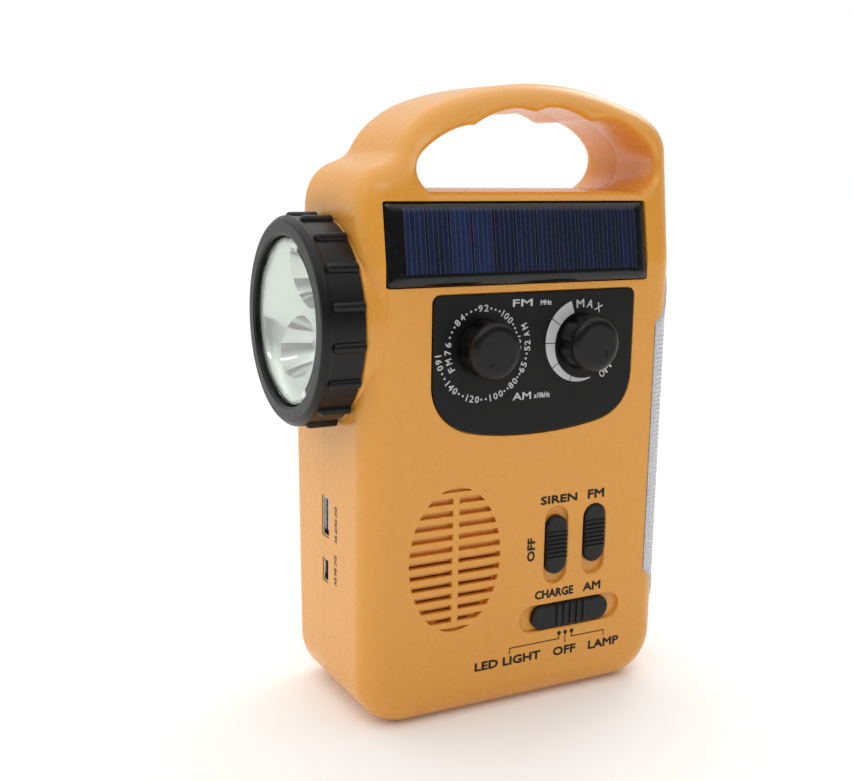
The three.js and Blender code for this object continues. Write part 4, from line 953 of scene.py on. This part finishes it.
class Print:
    """Gathers flat marks, then lays them as one thin film on a face."""

    def __init__(self):
        self.points, self.faces = [], []

    def outline(self, points):
        start = len(self.points)
        self.points += points
        self.faces.append(tuple(range(start, len(self.points))))

    def strip(self, points, wide):
        """A line of the given width through the points."""
        for a, b in zip(points, points[1:]):
            a, b = Vector(a), Vector(b)
            along = (b - a).normalized() * wide / 2
            side = Vector((-along.y, along.x))
            self.outline([a - along + side, a - along - side, b + along - side, b + along + side])

    def word(self, text, middle, wide, high, turn=0.0):
        points, faces, size = letters(text)
        a = radians(turn)
        start = len(self.points)
        for p in points:
            self.points.append(Vector(middle) + spun(p.x * wide / size.x, p.y * high / size.y, a))
        self.faces += [tuple(start + i for i in face) for face in faces]

    def arc_word(self, text, centre, radius, angles, high, wide, outward=True):
        """Single characters set round a ring, tops outwards or inwards."""
        for character, angle in zip(text, angles):
            at = Vector(centre) + heading(radians(angle)) * radius
            if character == ".":
                self.outline(disc(at.x, at.y, 0.3, 12))
            else:
                slim = 0.22 if character == "1" else 1.2 if character == "M" else 1.0
                self.word(character, at, wide * slim, high, angle - 90 if outward else angle + 90)

    def film(self, name, place, material, bold=0.0):
        """Lays the marks as a film. place turns (a, b, height above the face) into the radio's
        millimetres, and bold thickens every line by that much on each side."""
        layers = [self.layer(name, (0, 0))]
        if bold:
            layers += [self.layer("layer", heading(pi * k / 4) * bold) for k in range(8)]
            add(layers[0], *layers[1:])
        obj = reshape(layers[0], lambda p: Vector(place(*p)))
        hand_over(obj, material, "root", None)

    def layer(self, name, step):
        count = len(self.points)
        bm = bmesh.new()
        verts = [bm.verts.new((p.x + step[0], p.y + step[1], height))
                 for height in (INK_LIFT + INK_THICK, INK_LIFT) for p in self.points]
        edges = set()
        for face in self.faces:
            bm.faces.new([verts[i] for i in face])
            bm.faces.new([verts[i + count] for i in reversed(face)])
            edges.update(zip(face, face[1:] + face[:1]))
        for i, j in edges:
            if (j, i) not in edges:
                bm.faces.new((verts[j], verts[i], verts[i + count], verts[j + count]))
        return settled(name, baked(name, bm))


def on_front(a, b, height):
    return (a, FRONT_Y - height, b)


def on_plate(a, b, height):
    return (a, PLATE_FACE - height, b)


def on_left(a, b, height):
    return (-HALF_W - height, -a, b)


def print_plate():
    ink = Print()
    ring = (-17.75, 122.45)
    ink.arc_word("FM76...84...92...100...108", ring, 12.75, (
        -152.5, -164.4, -177.7, 171.5, 161, 153.2, 145.4, 137.9, 127.6, 119.8, 111.9, 104, 96.4, 86.8,
        79, 71.6, 64.7, 58.2, 50.7, 41.8, 34.2, 27.6, 21, 14, 7, -2), 2.1, 1.45)
    ink.arc_word("160..140..120..100..80..65..52AM", ring, 16.15, (
        -175, -168.3, -161.3, -154.2, -147.9, -141.2, -134.8, -128, -121.9, -116.1, -110.2, -104, -96.9,
        -91.4, -85.4, -79.8, -72.7, -65.6, -60.2, -55.2, -50, -43.2, -37.9, -33.5, -28.3, -21.4, -14.5,
        -8.9, -3, 3.7, 13.7, 22.9), 2.1, 1.4, outward=False)
    ink.word("FM", (-3.8, 136.3), 7.2, 2.2)
    ink.word("MHz", (4.95, 136.1), 4.1, 1.5)
    ink.word("AM", (-3.1, 106.3), 6.8, 2.3)
    ink.word("x10kHz", (4.5, 106.1), 6.0, 1.7)
    knob = (VOLUME_X, 122.5)
    ink.arc_word("MAX", knob, 12.7, (95, 77.5, 61), 2.6, 2.4)
    ink.arc_word("OFF", knob, 13.9, (-52, -42.5, -33.5), 2.6, 1.9, outward=False)
    ink.film("plate_lettering", on_plate, PRINT_GREY, bold=0.06)

    band = Print()
    stops = [71, 108.5, 144.5, 181, 214.5, 252]
    for first, last in zip(stops, stops[1:]):
        outer, inner = [], []
        for k in range(17):
            degrees = first + 0.7 + (last - first - 1.4) * k / 16
            t = (degrees - 71) / 181
            way = heading(radians(-degrees))
            outer.append(Vector(knob) + way * (12.6 + 1.75 * min(1.0, t * 1.25) ** 0.75))
            inner.append(Vector(knob) + way * (12.45 - 2.15 * min(1.0, t * 1.6) ** 0.8))
        band.outline(inner + outer[::-1])
    band.film("volume_crescent", on_plate, PRINT_GREY)


def print_body():
    ink = Print()
    for text, x0, x1, z0, z1 in (
            ("SIREN", 5.9, 20.1, 68.9, 71.5), ("FM", 24.7, 31.1, 68.9, 71.8),
            ("CHARGE", 4.8, 20.0, 36.1, 38.9), ("AM", 24.2, 31.2, 36.2, 39.0),
            ("LED LIGHT", -17.8, 7.5, 14.9, 17.7), ("OFF", 12.9, 21.8, 14.7, 17.6),
            ("LAMP", 27.4, 40.0, 14.6, 17.4)):
        ink.word(text, ((x0 + x1) / 2, (z0 + z1) / 2), x1 - x0, z1 - z0)
    ink.word("OFF", (2.6, 53.85), 7.9, 2.8, 90)
    ink.film("front_lettering", on_front, PRINT_BLACK, bold=0.18)
    lines = Print()
    for x in (15.0, 17.5, 20.1):
        lines.outline(disc(x, 22.6, 0.75, 20))
    lines.strip([(15.0, 21.8), (15.0, 20.6), (-4.6, 20.6), (-4.6, 18.9)], 0.36)
    lines.strip([(17.5, 21.8), (17.5, 18.9)], 0.36)
    lines.strip([(20.1, 21.8), (20.1, 20.6), (33.5, 20.6), (33.5, 18.6)], 0.36)
    lines.film("leader_lines", on_front, PRINT_BLACK)
    side = Print()
    side.word("DC OUT 5V", (8.6, 63.5), 12.0, 1.7, -90)
    side.word("DC IN 5V", (8.3, 48), 10.0, 1.7, -90)
    side.film("side_lettering", on_left, PRINT_BLACK, bold=0.12)


print_plate()
print_body()


# ---- Torch --------------------------------------------------------------------------------
def build_bezel():
    x, back = TORCH.x, TORCH.back
    centre = (0, 0, TORCH.z)
    ring = turned("torch_grip_ring", rounded([
        (26.7, x + 1.9, 0.3), (26.9, x + 0.5, 0.3), (27.8, x, 0.5), (31.6, x, 1.6), (33.2, x + 1.7, 0.9),
        (32.8, x + 3.4, 1.2), (32.8, back, 0.5), (29.7, back, 0), (29.7, x + 4.2, 0),
        (26.7, x + 4.2, 0)]),
        "x", centre, 160)
    ribs = []
    for i in range(TORCH.ribs):
        a = radians(TORCH.phase + 360 * i / TORCH.ribs)
        at = (0, 32.65 * cos(a), TORCH.z + 32.65 * sin(a))
        profile = rounded([
            (0, x + 3.1, 0), (1.65, x + 3.1, 1.45), (1.65, back - 0.15, 0.5), (0, back - 0.15, 0)])
        ribs.append(turned("rib", profile, "x", at, 28))
    ribs = cut(together("ribs", ribs), rod("bore", 30.8, "x", centre, x - 1, back + 2, 160))
    add(ring, ribs)
    hand_over(ring, HIGHLIT_GRIP_BLACK, "root", "torch_bezel", 38)


def build_lens():
    x, centre = TORCH.x, (0, 0, TORCH.z)
    lens = turned("torch_window", rounded([
        (0, x + 1.2, 0), (24, x + 1.35, 0.6), (26.3, x + 1.8, 0.3), (26.4, x + 2.6, 0.2),
        (26.4, x + 3.9, 0.2), (0, x + 3.7, 0)], 3), "x", centre, 128)
    hand_over(lens, CLEAR_LENS, "root", "torch_lens")


def cup_centre(angle):
    a = radians(angle)
    return (0, CUPS.offset * cos(a), TORCH.z + CUPS.offset * sin(a))


def build_reflector():
    rim, r, centre = TORCH.x + 4.6, 27.4, (0, 0, TORCH.z)
    bowl_r, bowl_deep, mouth, throat, cup_deep = 26.6, 8.2, 12.4, 2.6, 15.0
    bowl = [(bowl_r * sin(radians(a)), rim + bowl_deep * cos(radians(a))) for a in range(90, 0, -6)]
    profile = [(r, rim + 2), (r, rim), (26.8, rim)] + bowl + [(0, rim + bowl_deep)]
    profile += [(0, CUPS.back), (23, CUPS.back), (24.5, rim + 5)]
    body = turned("torch_mirror", [Vector(p) for p in profile], "x", centre, 160)
    for angle in CUPS.angles:
        cup = [(0, rim - 1.5), (12.6, rim - 1.5)]
        for k in range(13):
            q = 1 - k / 13
            cup.append((mouth * q + throat * (1 - q), rim + cup_deep * (1 - q * q)))
        cup += [(throat, rim + cup_deep), (0, rim + cup_deep)]
        cut(body, turned("cup", [Vector(p) for p in cup], "x", cup_centre(angle), 96),
            rod("hole", 2.7, "x", cup_centre(angle), rim + 4, CUPS.back + 1, 48))
    hand_over(body, CHROME, "root", "torch_reflector", 28)


def build_torch_leds():
    back = CUPS.back
    for i, angle in enumerate(CUPS.angles):
        dome = [(2.45 * sin(radians(a)), back - 5.2 - 2.3 * cos(radians(a)))
                for a in range(0, 91, 9)]
        profile = dome + [(2.45, back - 1.0), (2.62, back - 0.8), (2.62, back + 0.6), (0, back + 0.6)]
        led = turned(f"torch_light_{i + 1}", [Vector(p) for p in profile], "x", cup_centre(angle), 40)
        hand_over(led, LED, "root", f"torch_led_{i + 1}")


build_bezel()
build_lens()
build_reflector()
build_torch_leds()


# ---- Side lamp ----------------------------------------------------------------------------
def lamp_path(z, outward):
    """Points of the lamp's level section at height z, front to rear, with their outward directions."""
    front, rear, side = FRONT_Y - 0.2, REAR_Y + 0.2 + rear_shift(z), HALF_W + LAMP.proud
    r, spacing = EDGE + 0.4, 0.86
    turns, flat = round(pi / 2 * r / spacing), round((REAR_Y - FRONT_Y - 2 * r) / spacing)
    ahead, behind = Vector((side - r, front + r)), Vector((side - r, rear - r))
    start, corner = Vector((LAMP.x - 0.6, front)), Vector((side - r, front))
    points = [(start.lerp(corner, k / 3), Vector((0, -1))) for k in range(3)]
    ways = [heading(pi / 2 * (k / turns - 1)) for k in range(turns + 1)]
    points += [(ahead + way * r, way) for way in ways]
    first, last = Vector((side, front + r)), Vector((side, rear - r))
    points += [(first.lerp(last, k / flat), Vector((1, 0))) for k in range(1, flat)]
    ways = [heading(pi / 2 * k / turns) for k in range(turns + 1)]
    points += [(behind + way * r, way) for way in ways]
    return [(p + way * outward, way) for p, way in points]


def window_depth(y, z):
    """How far a point of the side view lies inside the lamp window's edge."""
    inside, narrow = LAMP.half - abs(y), LAMP.half - LAMP.tip
    depths = [inside, z - LAMP.z0, LAMP.z1 - z]
    for end, taper in ((z - LAMP.z0, LAMP.base), (LAMP.z1 - z, LAMP.top)):
        depths.append((inside * taper + (end - taper) * narrow) / hypot(taper, narrow))
    return min(depths)


def build_lamp():
    pitch, column, deep = 1.5, 4.3, 0.45
    rows = round((LAMP.z1 - LAMP.z0 + 2) / (pitch / 5))
    rings = []
    for row in range(rows + 1):
        z = LAMP.z0 - 1 + (LAMP.z1 - LAMP.z0 + 2) * row / rows
        outer, travelled, before = [], 0.0, None
        for point, way in lamp_path(z, 0.0):
            travelled += (point - before).length if before is not None else 0.0
            before = point
            inside = min(window_depth(point.y, z), point.x - LAMP.x + 0.2)
            fade = min(1.0, max(0.0, (inside - 0.9) / 0.5))
            ridge = (abs(sin(pi * z / pitch)) ** 0.6
                     * abs(sin(pi * travelled / column)) ** 0.35)
            outer.append(point - way * deep * (1 - ridge) * fade)
        inner = [p for p, way in lamp_path(z, -2.0)]
        rings.append((outer + inner[::-1], z))
    lens = stack("lamp_cover", rings, axis="z")
    common(lens, block("region", lamp_outline(0), LAMP.x, 70, axis="x"))
    hand_over(lens, LAMP_CLEAR, "root", "lamp_lens", 50)


build_lamp()


# ---- Rear: door, crank, antenna and screws --------------------------------------------------
def build_door():
    d = DOOR
    door = block("battery_cover", rectangle(-d.x, d.x, d.z0, d.z1, 0.8), REAR_Y - d.thick, REAR_Y,
                 rim1=0.4, steps=3)
    lean_rear(split_at(door, [20, 35]))
    thumb = rod("thumb", 9, "y", (0, 0, d.z1 + 2), rear_surface(d.z1) - 0.8, REAR_Y + 3, 64)
    grooves = together("grooves", [
        lean_rear(block("groove", oblong(0, z, 14 - abs(z - 30), 0.9, False), REAR_Y - 0.4, REAR_Y + 3))
        for z in (33, 35, 37, 39)])
    cut(door, thumb, grooves)
    hand_over(door, ORANGE, "battery_door", "battery_door")


def build_crank():
    c = CRANK
    low, high = DISH.z - c.reach, DISH.z
    arm = block("crank_lever", oblong(0, (low + high) / 2, c.reach + 2 * c.half, 2 * c.half, True),
                c.y0, c.y1, rim0=0.4, rim1=1.6, steps=5)
    slot = block("slot", rectangle(-5.4, 5.4, low - 4.6, high - 9, 1.0), 0, 40)
    socket = rod("socket", 3.3, "y", (0, 0, high), 0, 26)
    hinge = rod("hinge", c.pin_r, "x", (0, c.pin_y, low), -20, 20)
    floor = c.y1 - 0.5
    hub = turned("hub_ring", rounded([(5.6, floor, 0), (6.0, floor, 0), (6.0, 40, 0), (5.6, 40, 0)]),
                 "y", (0, 0, high))
    cut(arm, slot, socket, hinge, hub)
    hand_over(arm, SATIN_BLACK, "crank", "crank_arm")

    centre = (0, c.pin_y, low)
    flutes = together("flutes", [
        rod("flute", 0.55, "z", (4.35 * cos(a), c.pin_y + 4.35 * sin(a), low), 6.6, 17.6, 16, 0.4)
        for a in (2 * pi * k / 10 for k in range(10))])
    grip = turned("crank_grip", rounded([
        (2.1, 4.0, 0), (3.2, 4.0, 0.6), (4.0, 5.6, 0.8), (4.0, 18.6, 1.0), (3.5, 20.9, 0.7),
        (2.1, 20.9, 0)], 4), "z", centre)
    cut(grip, flutes)
    hand_over(grip, HIGHLIT_GRIP_BLACK, "crank_knob", "crank_knob")

    spindle = turned("grip_spindle", rounded([
        (0, 3.0, 0), (1.8, 3.0, 0.2), (1.8, 21.3, 0), (2.8, 21.3, 0.15), (2.8, 22.2, 0.4),
        (0, 22.2, 0)], 3), "z", centre, 40)
    eye = turned("eye", rounded([
        (c.pin_r, -4.8, 0), (3.4, -4.8, 0.4), (3.4, 4.8, 0.4), (c.pin_r, 4.8, 0)], 3), "x", centre, 48)
    add(spindle, eye)
    cut(spindle, rod("bore", c.pin_r, "x", centre, -6, 6))
    hand_over(spindle, STEEL, "knob_spindle", "knob_spindle")


def build_antenna():
    a = ANTENNA
    radii, last = a.radii, len(a.radii) - 1
    for i, radius in enumerate(radii):
        start, end = a.x + 5 + i * 1.2, a.x + a.length + 0.9 * i
        centre = (0, a.y, a.z)
        if i == last:
            profile = rounded([(0, start, 0), (radius, start, 0.1), (radius, end - 0.2, 0),
                               (2.6, end - 0.2, 0.5), (2.6, end + 3, 0.9), (0, end + 3, 0)], 5)
        else:
            bore = radii[i + 1] + 0.25
            profile = rounded([
                (bore, start, 0), (radius, start, 0.12), (radius, end - 1.2, 0),
                (radius - 0.12, end - 1.0, 0), (radius - 0.1, end, 0.1), (bore, end, 0)], 3)
        rod_part = turned(f"antenna_tube_{i + 1}", profile, "x", centre, 40)
        if i == 0:
            x, y, z = a.x, a.y, a.z
            plug = rod("plug", radius - 0.02, "x", centre, x + 4.2, x + 5.4, 40)
            tang = block("tang", oblong(x + 2, z, 7.6, 2.4, False), y - 1.7, y + 1.7, rim0=0.2, rim1=0.2)
            add(rod_part, plug, tang)
        hand_over(rod_part, BRIGHT, f"antenna_{i + 1}", f"antenna_section_{i + 1}")


def build_screws():
    for i, (x, z) in enumerate(SCREWS):
        head = rear_surface(z) - SCREW_SINK + GAP
        top = head + HEAD_TALL
        screw = turned(f"shell_screw_{i + 1}", rounded([
            (0, -13, 0), (SCREW_R, -12, 0), (SCREW_R, head, 0), (HEAD_R, head, 0.15), (HEAD_R, top, 0.9),
            (0, top, 0)], 4), "y", (x, 0, z), 32)
        for wide, high in ((1.7, 0.35), (0.35, 1.7)):
            cut(screw, bar("slot", x, z, wide, high, top - 0.9, top + 1))
        hand_over(screw, STEEL, "root", f"housing_screw_{i + 1}")


build_door()
build_crank()
build_antenna()
build_screws()


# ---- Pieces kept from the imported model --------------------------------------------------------
KEPT = (
    (STEEL, "siren_switch_body band_switch_body light_switch_body speaker_frame speaker_magnet "
            "volume_pot battery_contact_left battery_contact_right gearbox_plate generator_can "
            "generator_rotor compound_axle crank_pin"),
    (BOARD, "torch_led_board charge_board main_board"), (PALE_TRAY, "lamp_tray lamp_led_board"),
    (BRIGHT, "usb_out_port dc_in_port antenna_base"), (PAPER, "speaker_cone"), (FERRITE, "ferrite_rod"),
    (COPPER, "ferrite_coil"), (WHITE_PLASTIC, "tuning_capacitor compound_gear drive_gear"),
    (CELL_WRAP, "battery_cell_1 battery_cell_2 battery_cell_3"), (BRASS, "rotor_pinion"))


def dress_kept(name, material):
    """Gives a kept piece its material and a fine bevel on its edges."""
    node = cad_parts[name]
    for slot in node.material_slots:
        slot.link = "OBJECT"
        slot.material = material
    weld = node.modifiers.new("weld", "WELD")
    weld.merge_threshold = 1e-6
    bevel = node.modifiers.new("edges", "BEVEL")
    bevel.width, bevel.segments, bevel.limit_method = 0.12 * MM, 2, "ANGLE"
    bevel.angle_limit = radians(40)


for finish, pieces in KEPT:
    for piece in pieces.split():
        dress_kept(piece, finish)


# ---- Floor and light ------------------------------------------------------------------------
def add_floor():
    n = Nodes("floor_white")
    cloud = n.noise(220, 2)
    tint = n.blend(n.spread(cloud, 0, 1), linear((247, 246, 244)), linear((250, 250, 249)))
    n.shader.inputs["Specular IOR Level"].default_value = 0.2
    n.shader.inputs["Emission Color"].default_value = (1, 1, 1, 1)
    n.shader.inputs["Emission Strength"].default_value = 0.07
    material = n.finish(tint, n.spread(cloud, 0.7, 0.8))
    bm = bmesh.new()
    bmesh.ops.create_grid(bm, x_segments=8, y_segments=8, size=6)
    floor = shown("floor", baked("floor", bm))
    floor.data.materials.append(material)


def add_light(name, place, power, wide, high):
    """A soft box at the place, turned towards the middle of the radio."""
    data = bpy.data.lights.new(name, "AREA")
    data.shape, data.size, data.size_y = "RECTANGLE", wide, high
    data.energy = power
    lamp = shown(name, data)
    lamp.location = place
    lamp.rotation_mode = "QUATERNION"
    lamp.rotation_quaternion = (Vector((0, 0, 0.1)) - Vector(place)).to_track_quat("-Z", "Y")
    lamp.visible_camera = False


def add_surroundings():
    """A white studio: bright overhead, bright behind the radio, and dim towards its front."""
    world = bpy.data.worlds.new("studio")
    bpy.context.scene.world = world
    world.use_nodes = True
    tree = world.node_tree
    tree.nodes.clear()

    seen, lit = tree.nodes.new("ShaderNodeBackground"), tree.nodes.new("ShaderNodeBackground")
    seen.inputs["Color"].default_value = lit.inputs["Color"].default_value = (1, 1, 1, 1)
    place, split = tree.nodes.new("ShaderNodeTexCoord"), tree.nodes.new("ShaderNodeSeparateXYZ")
    total = tree.nodes.new("ShaderNodeMath")
    tree.links.new(place.outputs["Generated"], split.inputs[0])
    tree.links.new(map_range(tree, split.outputs["Y"], 0.11, 0.85, -0.4, 0.6), total.inputs[0])
    tree.links.new(map_range(tree, split.outputs["Z"], 0.0, 0.9, 0.4, 0.75), total.inputs[1])
    tree.links.new(total.outputs[0], lit.inputs["Strength"])
    path, mix = tree.nodes.new("ShaderNodeLightPath"), tree.nodes.new("ShaderNodeMixShader")
    out = tree.nodes.new("ShaderNodeOutputWorld")
    tree.links.new(path.outputs["Is Camera Ray"], mix.inputs[0])
    tree.links.new(lit.outputs[0], mix.inputs[1])
    tree.links.new(seen.outputs[0], mix.inputs[2])
    tree.links.new(mix.outputs[0], out.inputs[0])


add_floor()
add_surroundings()
add_light("left_box", (-1.1, 0.1, 0.8), 0.5, 0.7, 0.7)
add_light("right_box", (0.9, 0.55, 0.9), 2.0, 0.5, 0.5)
add_light("high_strip", (-0.35, -0.75, 1.15), 1.6, 0.7, 0.12)
bpy.context.scene.view_settings.view_transform = "Standard"
